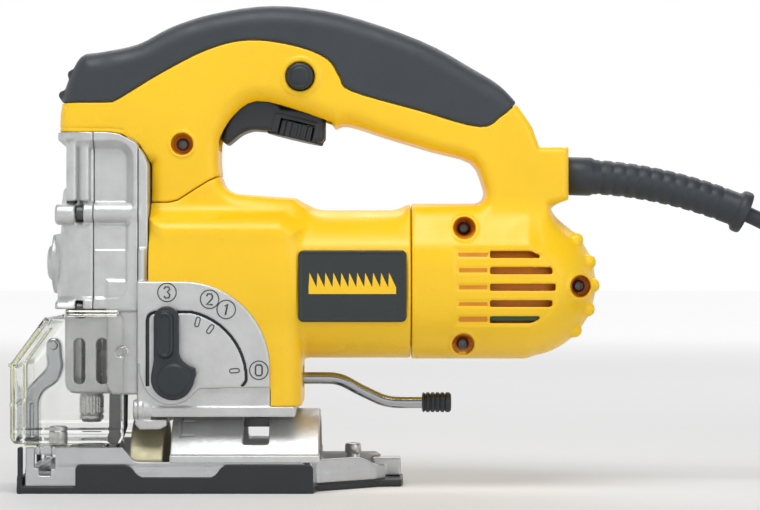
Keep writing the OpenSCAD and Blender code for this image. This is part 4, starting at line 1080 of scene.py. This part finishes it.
# ---- Controls, screws and label ----
def lathe(name, place, way, profile, sides, lobes=6):
    """A turned piece: profile rows are (along, radius) or (along, radius, depth of the lobes)."""
    d = np.array(way, float) / np.linalg.norm(way)
    u = np.cross(d, (0.0, 0.0, 1.0) if abs(d[2]) < 0.9 else (1.0, 0.0, 0.0))
    u /= np.linalg.norm(u)
    v = np.cross(d, u)
    place = np.array(place, float)
    verts = []
    for row in profile:
        for k in range(sides):
            a = 2 * math.pi * k / sides
            r = row[1] + (row[2] * math.cos(lobes * a) if len(row) > 2 else 0)
            verts.append(place + d * row[0] + u * (r * math.cos(a)) + v * (r * math.sin(a)))
    return closed_object(name, verts, tube_faces(len(profile), sides), sharp_over=40)


def make_screws():
    """Star-recess screws in the handle's wells, and socket screws in the front cover."""
    for i, (sx, sz, depth) in enumerate(SCREWS):
        profile = [(-depth - 8, 1.0), (-depth - 7.4, 1.35), (0, 1.35), (0, 2.5), (0.25, 2.65), (1.3, 2.6),
                   (1.9, 2.2), (2.15, 1.75), (2.2, 1.45, 0.22), (1.0, 1.35, 0.22), (0.9, 0.3)]
        head = lathe("handle_screw_%d" % i, (sx, -depth, sz), (0, -1, 0), profile, 36)
        finish_piece(head, "housing", DARK_STEEL, ("handle_screws",))
    for s in (-1, 1):
        for z in BOSS_ZS:
            profile = [(-24, 1.0), (-23.6, 1.35), (0, 1.35), (0, 3.0), (0.3, 3.1), (2.5, 3.1), (3.0, 2.6),
                       (3.0, 1.6, 0.12), (1.2, 1.5, 0.12), (0.8, 0.3)]
            head = lathe("cover_screw_%s_%d" % ("left" if s < 0 else "right", round(z)),
                         (-4.4, s * BOSS_Y, z), (-1, 0, 0), profile, 36)
            finish_piece(head, "housing", DARK_STEEL, ("cover_screws",))


def orbital_lever_field(p):
    """Lever on the dial: flat arm, round hub, pointer and a raised finger pad."""
    x, y, z = p
    arm = np.hypot(x - 31.8, np.maximum(np.abs(z - 61.5) - 12.5, 0)) - 5.3
    hub = np.hypot(x - HUB[0], z - HUB[1]) - 8.5
    tip = outline([(38, 55.5), (44, 53.2), (44.4, 50.6), (42.6, 46), (38, 44.5)], x, z)
    plate = slab(join(join(arm, hub, 4), tip, 1.0), y, 2.3, 0.8, -34.2)
    cap = rod(p, 1, HUB, 6.6, -37.4, -34, 1.0)
    pad_flat = np.hypot(x - 31.4, np.maximum(np.abs(z - 67.3) - 6.2, 0)) - 3.5
    pad = slab(pad_flat, y, 2.6, 1.1, -36.0)
    dish = np.maximum(pad_flat + 1.5, -38.2 - y)
    d = join(join(plate, cap, 0.8), pad, 1.0)
    return cut(d, np.maximum(dish, y + 38.1), 0.8)


TRIGGER = ([(53.2, 150.4), (55.2, 148.8)]
           + curve([(56.3, 148.7), (58, 150), (61.9, 153.1), (66.6, 154.8), (71.4, 154.6), (76.5, 154.1),
                    (81.7, 152.4), (88, 150.6), (93.8, 149.4)], 3)
           + [(96.8, 149.4), (98.1, 151.3), (98.3, 162.8), (92, 164.4), (79.5, 164.8), (76, 170.8),
              (72, 171.8), (62, 168.8), (56.5, 161), (54.0, 155.5)])


TRIGGER_HALF = 10.5
WHEEL_R = 12.5
WHEEL_HALF = 3.4


def dial_frame(p):
    """Coordinates across and along the speed wheel's leaning axis."""
    x, y, z = p[0] - DIAL[0], p[1], p[2] - DIAL[1]
    c, s = math.cos(TILT), math.sin(TILT)
    return x * c - z * s, y + 0 * x, x * s + z * c


def trigger_field(p):
    """Trigger with its finger curve and the window for the speed wheel."""
    x, y, z = p
    profile = outline(TRIGGER, x, z)
    u, v, w = dial_frame(p)
    lip = slab(rounded_flat(u, w, (-10.5, 8.8), (-5.2, 5.6), 1.2), y, 10.9, 0.6)
    body = join(slab(profile, y, TRIGGER_HALF, 2.4), np.maximum(lip, profile - 0.1), 0.6)
    return cut(body, slab(np.hypot(u, v) - WHEEL_R - 0.6, w, WHEEL_HALF + 0.6, 0.3), 0.4)


def wheel_field(p):
    """Ribbed speed wheel on its short axle."""
    u, v, w = dial_frame(p)
    ribs = 0.4 * (1 + np.cos(28 * np.arctan2(v, u)))
    d = slab(np.hypot(u, v) - WHEEL_R + ribs * ramp(np.abs(w), 3.6, 3.2), w, WHEEL_HALF, 0.7)
    return join(d, slab(np.hypot(u, v) - 1.3, w, 5.0, 0.2, 3.0))


def make_controls():
    """Orbital lever, trigger, speed wheel and lock button."""
    skin_piece("stage_lever", [(25, 46.5), (-39.2, -31.4), (38.5, 80.5)], orbital_lever_field, SMALL_STEP,
               "orbital_dial", DARK, "orbital_lever")
    skin_piece("trigger_key", [(51, 100.5), (-12.2, 12.2), (146, 174)], trigger_field, SMALL_STEP * 1.3,
               "trigger_key", DARK, "trigger")
    skin_piece("speed_wheel", [(71, 100), (-13.6, 13.6), (146, 165)], wheel_field, SMALL_STEP,
               "dial_wheel", BLACK, "speed_dial")
    profile = [(-8.3, 2.4), (-8.3, 5.4), (-8.0, 5.7), (0.0, 5.75), (0.7, 5.55), (1.1, 5.0), (1.2, 4.3),
               (1.05, 4.1), (1.2, 3.9), (1.45, 2.4), (1.5, 0.4)]
    button = lathe("lock_key", (LOCK[0], -19.8, LOCK[1]), (0, -1, 0), profile, 48)
    finish_piece(button, "lock_key", DARK, ("lock_button",))


TEETH = 11
TEETH_MARGIN = 4.5
TEETH_HEIGHT = 0.16
TOOTH_Z = (84.4, 87.2, 93.4)


def saw_teeth(side_name, s):
    """A row of raised saw teeth across one label."""
    x0, x1 = LABEL_BOX[0]
    foot, root, tip = TOOTH_Z
    pitch = (x1 - x0 - 2 * TEETH_MARGIN) / TEETH
    y = s * (BARREL_HALF + 0.62)
    verts = []
    faces = []
    for i in range(TEETH):
        left = x0 + TEETH_MARGIN + i * pitch
        shape = [(left, foot), (left + pitch, foot), (left + pitch, root), (left + 0.12 * pitch, tip),
                 (left, root)]
        faces += tube_faces(2, len(shape), len(verts))
        verts += [(x, out, z) for out in (y, y + s * TEETH_HEIGHT) for x, z in shape]
    strip = closed_object("saw_teeth_" + side_name, verts, faces, smooth=False)
    finish_piece(strip, "housing", YELLOW, ())


def make_labels():
    """Plain dark plates with a thin raised border and a row of saw teeth."""
    (x0, x1), (z0, z1) = LABEL_BOX
    for s, side_name in ((-1, "left"), (1, "right")):
        def field(p, s=s):
            flat = rounded_flat(p[0], p[2], (x0, x1), (z0, z1), 2.3)
            plate = slab(flat, p[1], 0.55, 0.3, s * (BARREL_HALF + 0.05))
            rim = slab(np.abs(flat + 0.9) - 0.5, p[1], 0.75, 0.2, s * (BARREL_HALF + 0.05))
            return join(plate, rim, 0.3)
        ys = (s * BARREL_HALF - 1.5, s * BARREL_HALF + 1.5)
        plate = skin("label_plate_" + side_name, [(x0 - 1, x1 + 1), ys, (z0 - 1, z1 + 1)], field, SMALL_STEP)
        finish_piece(plate, "housing", LABEL, ("label_plates",))
        saw_teeth(side_name, s)


# ---- Shoe, arch and bevel lever ----
REAR_EDGE = [(93, -SHOE_HALF), (94.5, -20), (108, -9.4), (120, 0.5), (124, 5), (124, SHOE_HALF)]
SHOE_PLAN = [(-28, SHOE_HALF), (-28, -SHOE_HALF)] + REAR_EDGE
SHOE_T = 4.8
SHOE_WALL = 3.0
SHOE_TOP = 10.2
COVER_HALF = 32.2
COVER_NOSE = (-31.4, -29.5)
COVER_PLAN = [(COVER_NOSE[0], COVER_HALF), (COVER_NOSE[0], -COVER_HALF), (93.8, -COVER_HALF), (95.4, -21.3),
              (109.4, -10.4), (121.6, 0), (131, 1.6), (131.9, 6), (131.9, COVER_HALF)]
ARCH_X = (33, 96)
ARCH_WALL = 3.0
MARK_DEPTH = 0.45
STUD = (110, 12)
FENCE_SCREW = (-15.5, -20)
ROD_PATH = curve([(CLAMP_X, ROD_Z), (86, ROD_Z), (98, ROD_Z), (102.5, 47.1), (106.5, 45.9), (112, 43),
                  (118, 40.1), (122.6, 38.1), (127, 37.1), (132, 36.9), (142, 36.9)], 4)
SIDE_GRIP = ([(-6.9, 0.3), (93.6, 0.3)] + arc((91.4, 10.2), 2.2, 0, 90, 4)
             + curve([(57, 12.4), (54.6, 10.9), (52.6, 8.3), (50.6, 7.1)], 3)
             + curve([(21.4, 7.1), (19, 8.4), (16.4, 11.4), (13.6, 12.4)], 3)
             + arc((-4.7, 10.2), 2.2, 90, 180, 4))


def cut_openings(d, p, openings):
    """Rectangular holes through a plate: rows of (x range, half width, corner radius)."""
    for xs, half, r in openings:
        d = cut(d, block(p, xs, (-half, half), (-5, 30), r), 0.5)
    return d


def shoe_field(p):
    """Pressed steel shoe: turned-up sides, stepped front notches, openings and cross ribs."""
    x, y, z = q = (p[0], p[1], p[2] - SOLE)
    plan = outline(SHOE_PLAN, x, y)
    d = slab(plan, z, SHOE_T / 2, 0.5, SHOE_T / 2)
    for s in (-1, 1):
        rear = 93 if s < 0 else 124
        low = 6 if s < 0 else 7.5
        wall_line = [(-28, 0), (rear, 0), (rear, low), (rear - 4, SHOE_TOP), (20, SHOE_TOP), (17.8, 10.9),
                     (12.8, 16.5), (-28, 16.5)]
        wall = slab(outline(wall_line, x, z), y, SHOE_WALL / 2, 0.5, s * (SHOE_HALF - SHOE_WALL / 2))
        d = join(d, wall, 0.8)
    d = join(d, block(mirrored(q), (-24.3, -10.6), (12.5, 28.6), (13, 16.5), 0.5), 0.6)
    for xs, left, top in (((-28, -24.3), -SHOE_HALF, 7.5), ((16, 30), -SHOE_HALF, 5.5), ((92, 96), -19, 7)):
        d = join(d, block(q, xs, (left, SHOE_HALF), (0, top), 0.6), 0.8)
    rim_top = SHOE_TOP - 5.0 * ramp(x, 111, 124.5)
    band = np.abs(plan + SHOE_WALL / 2) - SHOE_WALL / 2
    rim = overlap(band, z - rim_top, 92 - x, y - 6)
    d = join(d, np.maximum(rim, -z), 0.6)
    d = join(d, block(q, (118.5, 131), (18, SHOE_HALF), (0, 8), 0.8), 0.8)
    for rx in (20, 26):
        d = cut(d, block(q, (rx - 0.7, rx + 0.7), (-24, 24), (4.9, 9), 0.4), 0.3)
    d = cut_openings(d, q, (((-10.5, 15), 19, 2.0), ((-24.2, -10.4), 13, 1.0), ((33, 90), 24, 3.0)))
    notch = block(mirrored(q), (-24.3, -15.4), (28.4, 40), (7.5, 30), 0.4)
    inner = block(mirrored(q), (-22.4, -17.4), (27.6, 40), (4.4, 30), 0.4)
    d = cut(d, np.minimum(notch, inner), 0.4)
    crease = np.maximum(np.abs(z - 8.6) - 0.35, SHOE_HALF - 0.35 - np.abs(y))
    d = cut(d, overlap(crease, -x - 14.5, x - 90), 0.3)
    for hx, hy in (STUD, FENCE_SCREW):
        d = cut(d, np.hypot(x - hx, y - hy) - 1.6)
    return d


def shoe_cover_field(p):
    """Slide-on black sole with front wall, side grips and rear foot."""
    x, y, z = p
    d = slab(outline(COVER_PLAN, x, y), z, SOLE / 2, 0.6, SOLE / 2)
    d = join(d, block(p, COVER_NOSE, (-COVER_HALF, COVER_HALF), (0.3, 7.2), 0.6), 1.0)
    d = join(d, block(mirrored(p), COVER_NOSE, (27, COVER_HALF), (0.3, 19.6), 0.6), 1.0)
    d = join(d, slab(outline(SIDE_GRIP, x, z), np.abs(y), 0.55, 0.3, SHOE_HALF + 0.5), 0.3)
    d = join(d, block(p, (122.4, 131.9), (24, COVER_HALF), (0.3, 2.9), 0.5), 0.6)
    d = cut_openings(d, p, (((-10.5, 15), 14.4, 2.0), ((-24.2, -10.4), 9, 1.0), ((36, 88), 22, 3.0)))
    for k in range(5):
        runner = np.maximum(np.abs(y - (k - 2) * 12.0) - 0.5, z - 0.6)
        d = cut(d, overlap(runner, 18 - x, x - 34), 0.3)
    return cut(d, np.hypot(x - STUD[0], y - STUD[1]) - 1.6)


def arch_field(p):
    """Cast half tube that tilts on the flange: clamp slot, end ribs and degree marks."""
    x, y, z = p
    rho = np.hypot(y, z)
    ends = np.maximum(ARCH_X[0] - x, x - ARCH_X[1])
    d = overlap(rho - ARCH_R, ARCH_R - ARCH_WALL - rho, SOLE + SHOE_TOP - z)
    d = meet(d, ends, 0.5)
    foot = np.maximum(np.abs(np.abs(y) - 29.3) - 2.2, np.abs(z - SOLE - 11.4) - 1.4)
    d = join(d, np.maximum(foot, ends), 1.2)
    angle = np.arctan2(y, z)
    slot = (np.abs(angle) - math.radians(53)) * (ARCH_R - ARCH_WALL / 2)
    d = cut(d, meet(slot, np.abs(x - CLAMP_X) - 5.5, 1.5), 0.4)
    band = np.maximum(np.abs(angle + 0.02) - math.radians(46), 0) * ARCH_R
    line = np.hypot(np.maximum(np.abs(x - 37.0) - 0.35, 0), band) - 0.05
    d = cut(d, np.maximum(line, ARCH_R - MARK_DEPTH - rho), 0.2)
    for degree in (-45, -30, -15, 0, 15, 30, 45):
        a = math.radians(degree)
        tick = np.maximum(np.abs(angle - a) * ARCH_R - 0.35, np.abs(x - 40.0) - 3.0)
        d = cut(d, np.maximum(tick, ARCH_R - MARK_DEPTH - rho), 0.2)
    return d


def chute_field(p):
    """Dust channel under the gear case, olive as painted shade with a painted reflection of the shoe."""
    x, y, z = p
    rho = np.hypot(y, z)
    d = overlap(rho - 30.8, 28 - rho, 8.9 - z, np.abs(y) - 27.5)
    d = meet(d, np.maximum(15.5 - x, x - 29.5), 0.5)
    rib = np.maximum(np.abs(x - 21.5) - 0.8, np.abs(rho - 28.0) - 1.0)
    return join(d, overlap(rib, 9.2 - z, np.abs(y) - 27.3), 0.8)


def rod_field(p):
    """Bright rod of the bevel lever with its clamp eye."""
    x, y, z = p
    best = None
    for (ax, az), (bx, bz) in zip(ROD_PATH, ROD_PATH[1:]):
        dx, dz = bx - ax, bz - az
        t = np.clip(((x - ax) * dx + (z - az) * dz) / max(dx * dx + dz * dz, 1e-9), 0, 1)
        here = (x - ax - t * dx) ** 2 + (z - az - t * dz) ** 2
        best = here if best is None else np.minimum(best, here)
    d = np.maximum(np.hypot(np.sqrt(best), y) - 2.6, x - 142.4)
    eye = rod(p, 2, (CLAMP_X, 0), 7.9, 42.4, 52.2, 0.9)
    d = join(np.maximum(d, 7.2 - np.hypot(x - CLAMP_X, y)), eye, 2.0)
    return np.maximum(d, 3.0 - np.hypot(x - CLAMP_X, y))


STUD_PROFILE = [(0, 1.2), (0.3, 1.55), (4.4, 1.55), (4.4, 2.8), (4.6, 2.9), (9.9, 2.9), (10.2, 2.7),
                (10.2, 3.4), (10.5, 3.6), (13.9, 3.6), (14.6, 3.2), (14.8, 2.6), (14.8, 1.7, 0.15),
                (13.2, 1.6, 0.15), (13.0, 0.3)]
FENCE_PROFILE = [(0, 1.2), (0.3, 1.55), (3.6, 1.55), (3.6, 3.9), (3.9, 4.0), (10.4, 4.0), (11.2, 3.6),
                 (11.6, 2.8), (11.6, 1.8, 0.2), (9.6, 1.7, 0.2), (9.4, 0.3)]


def make_shoe():
    """Shoe, black sole, arch, chute, screws and the bevel lever."""
    plate = "shoe_plate"
    for name, box, field, step, material, node, slot in (
            ("steel_shoe", [(-29, 132), (-33, 33), (2.6, 20.5)], shoe_field, 1.5, SHOE_STEEL, "shoe",
             "steel"),
            ("black_sole", [(-32.4, 133), (-33.4, 33.4), (-0.6, 20.2)], shoe_cover_field, 1.5, BLACK,
             "shoe_cover", "dark_plastic"),
            ("tilt_arch", [(32, 97), (-35.2, 35.2), (12.4, 35.2)], arch_field, 1.4, CAST, "bevel_arch",
             "arch_metal"),
            ("dust_channel", [(14.5, 30.5), (-28.5, 28.5), (8, 32)], chute_field, 1.4, OLIVE_PAINTED_SHADE, "dust_chute",
             "arch_metal")):
        skin_piece(name, box, field, SMALL_STEP * step, plate, material, node)
    for name, place, profile in (("rear_stud", (*STUD, 3.6), STUD_PROFILE),
                                 ("fence_screw", (*FENCE_SCREW, 16.4), FENCE_PROFILE)):
        screw = lathe(name, place, (0, 0, 1), profile, 40)
        finish_piece(screw, plate, STEEL, ("shoe_screws",))
    skin_piece("bevel_rod", [(CLAMP_X - 9, 143.5), (-9, 9), (33, 53.5)], rod_field, SMALL_STEP,
               "bevel_handle", CHROME_PAINTED_REFLECTION, "bevel_lever")
    ribs = [(-12.7, 0.4), (-12.7, 3.4), (-12.2, 4.1)]
    for i in range(5):
        at = -11.6 + 2.1 * i
        ribs += [(at, 4.35), (at + 1.2, 4.35), (at + 1.4, 3.8), (at + 1.9, 3.8)]
    ribs += [(-1.0, 4.35), (-0.4, 4.2), (0, 3.4), (0, 2.7)]
    cap = lathe("rod_cap", (140, 0, 36.9), (1, 0, 0), [(-a, r) for a, r in ribs][::-1], 40)
    finish_piece(cap, "bevel_handle", BLACK, ("bevel_lever_cap",))


# ---- Blade release, clamp, roller and shield ----
LEVER_PIVOT = (-19.6, 61.8)
LEVER_HALF = 4.5
COLLAR_Z = 29.5
COLLAR_H = 14.0
COLLAR_R = 5.3
YOKE_PIVOT = (8.5, 61.0)
ROLLER = (6.0, 18.5)
ROLLER_R = 4.5


def blade_lever_field(p):
    """Bright bent bar: wide at its pivot, an S-bend, and a straight lower leg with a pressed groove."""
    x, y, z = p
    line = (arc(LEVER_PIVOT, 3.3, 170, 10, 6)
            + curve([(-15.9, 56), (-15.6, 52), (-18, 46), (-24, 41.5), (-26, 37)], 3)
            + [(-26, 21.4), (-32, 21.4)]
            + curve([(-32, 38), (-31, 43), (-26.5, 48), (-22.8, 52.4), (-22.9, 58)], 3))
    d = slab(outline(line, x, z), y, LEVER_HALF, 1.3)
    middle = np.hypot(x + 29.0, np.maximum(np.abs(z - 29.5) - 6.5, 0)) - 0.7
    d = cut(d, np.maximum(middle, LEVER_HALF - 1.2 - np.abs(y)), 0.6)
    return np.maximum(d, 1.65 - np.hypot(x - LEVER_PIVOT[0], z - LEVER_PIVOT[1]))


def clamp_field(p):
    """Blade clamp body with its blade slot."""
    d = rod(p, 2, (PLUNGER_X, 0), 4.28, COLLAR_Z - 1, COLLAR_Z + COLLAR_H, 0.4)
    slot = block(p, (PLUNGER_X - 4, PLUNGER_X + 4), (-0.8, 0.8), (COLLAR_Z - 3, COLLAR_Z + 11))
    return cut(d, slot, 0.2)


def collar_field(p):
    """Release collar with a ribbed band."""
    x, y, z = p
    rho = np.hypot(x - PLUNGER_X, y)
    ribs = 0.22 * (1 + np.cos(24 * np.arctan2(y, x - PLUNGER_X)))
    band = ramp(z, COLLAR_Z + 2.6, COLLAR_Z + 3.2) * ramp(z, COLLAR_Z + 10.6, COLLAR_Z + 10.0)
    d = slab(rho - COLLAR_R + ribs * band, z, COLLAR_H / 2 - 0.2, 0.5, COLLAR_Z + COLLAR_H / 2 - 0.15)
    for z0 in (COLLAR_Z + 2.4, COLLAR_Z + 10.8):
        d = cut(d, np.hypot(rho - COLLAR_R, z - z0) - 0.4, 0.2)
    return np.maximum(d, 4.42 - rho)


def yoke_field(p):
    """Forked arm that carries the guide roller."""
    x, y, z = p
    arm = ([(ROLLER[0] - 2.6, ROLLER[1]), (4.5, 26), (4.9, 57)] + arc(YOKE_PIVOT, 4, 180, 0, 8)
           + [(12, 57), (11.6, 26), (ROLLER[0] + 3, ROLLER[1])] + arc(ROLLER, 3, 0, -180, 6))
    flat = outline(arm, x, z)
    d = slab(flat, np.abs(y), 0.9, 0.4, 4.4)
    web = slab(outline([(7, 28), (11, 28), (11, 56), (7, 56)], x, z), y, 3.9, 0.4)
    d = join(d, web, 0.8)
    d = np.maximum(d, 2.1 - np.hypot(x - YOKE_PIVOT[0], z - YOKE_PIVOT[1]))
    return np.maximum(d, 1.5 - np.hypot(x - ROLLER[0], z - ROLLER[1]))


def shield_field(p):
    """Clear guard: slanted front, folded lip, round corners and side lugs."""
    x, y, z = p
    outer = ([(13.6, 24), (13.6, 74.2), (11.6, 77.6), (-17.6, 77.6), (-34.3, 54.8), (-34.3, 24)]
             + arc((-31, 24), 3.2, 190, 270, 4) + [(12, 20.9)])
    inner = [(20, 10), (20, 90), (11, 90), (11, 75.5), (-16.6, 75.5), (-32.5, 54), (-32.5, 10)]
    d = slab(outline(outer, x, z), y, 33.7, 1.6)
    d = np.maximum(d, -slab(outline(inner, x, z), y, 32.1, 1.0))
    fold = np.maximum(np.hypot((x + 34.0) * 0.7, z - 54.4) - 0.9, np.abs(y) - 33.3)
    lip = np.maximum(np.hypot(x + 33.8, z - 37.5) - 0.8, np.abs(y) - 33.0)
    sides = overlap(np.hypot(np.abs(y) - 33.4, z - 27.0) - 0.55, -32.5 - x, x - 12.5)
    d = join(join(d, fold, 0.6), np.minimum(lip, sides), 0.6)
    d = cut(d, block(p, (-60, -15), (-6.4, 6.4), (10, 69), 1.0), 0.5)
    d = cut(d, block(p, (-19.5, 30), (-CASE_HALF - 0.7, CASE_HALF + 0.7), (69.5, 90)), 0.4)
    d = cut(d, block(p, (-19.5, -10.5), (-40, 40), (74.3, 90), 1.0), 0.5)
    d = np.maximum(d, 20.8 - z)
    return join(d, rod(mirrored(p), 1, (12.6, 60), 2.4, CASE_HALF + 0.02, 32.2), 0.3)


def paint_edge_glow(obj):
    """Gives the second material, a painted yellow-green edge glow, to faces along the shield's free edges and
    folds.
    """
    x, y, z = face_data(obj.data, "center") / MM
    across = np.abs(face_data(obj.data, "normal")[1])
    side_edge = (np.abs(y) > 31.8) & (across < 0.7) & (x < 10)
    bottom = (z < 21.6) & (x < 10)
    cut_out = (np.abs(y) < 7.2) & (across > 0.5)
    use_second_material(obj, side_edge | bottom | cut_out)


def make_front():
    """Blade lever, clamp, collar, yoke, roller and the clear shield."""
    for name, box, field, body, material, node, slot in (
            ("blade_release_bar", [(-33.5, -14.5), (-6, 6), (20.5, 66.5)], blade_lever_field, "release",
             CHROME_PAINTED_REFLECTION, "blade_lever", "bright_chrome"),
            ("clamp_body", [(-8.5, 1.5), (-5, 5), (27, 44.5)], clamp_field, "ram", DARK_STEEL, "blade_clamp",
             "dark_steel"),
            ("clamp_ring", [(-9.5, 2.5), (-6, 6), (28, 44.5)], collar_field, "collar", STEEL, "clamp_collar",
             "steel"),
            ("roller_fork", [(2.5, 13.2), (-6, 6), (14.5, 66)], yoke_field, "roller_arm", DARK_STEEL,
             "roller_yoke", "dark_steel")):
        skin_piece(name, box, field, SMALL_STEP, body, material, node)
    half_row = [(0.5, ROLLER_R - 1.1), (0.7, ROLLER_R), (2.6, ROLLER_R), (3.0, ROLLER_R - 0.5), (3.0, 2.0)]
    rows = [(-a, r) for a, r in half_row][::-1] + half_row
    wheel = lathe("blade_roller", (ROLLER[0], 0, ROLLER[1]), (0, 1, 0), rows, 48)
    finish_piece(wheel, "roller", STEEL, ("guide_roller",))
    shield = skin_piece("clear_guard", [(-35.3, 15), (-34.6, 34.6), (20, 78.5)], shield_field,
                        SMALL_STEP * 1.5, "housing", [CLEAR, CLEAR_PAINTED_GLOW], "blade_shield")
    paint_edge_glow(shield)


def build():
    """Everything, cord and camera first."""
    set_camera()
    make_cord()
    make_guard()
    set_lights()
    set_floor()
    dress_cad_nodes()
    make_yellow()
    make_case()
    make_screws()
    make_controls()
    make_labels()
    make_shoe()
    make_front()


build()
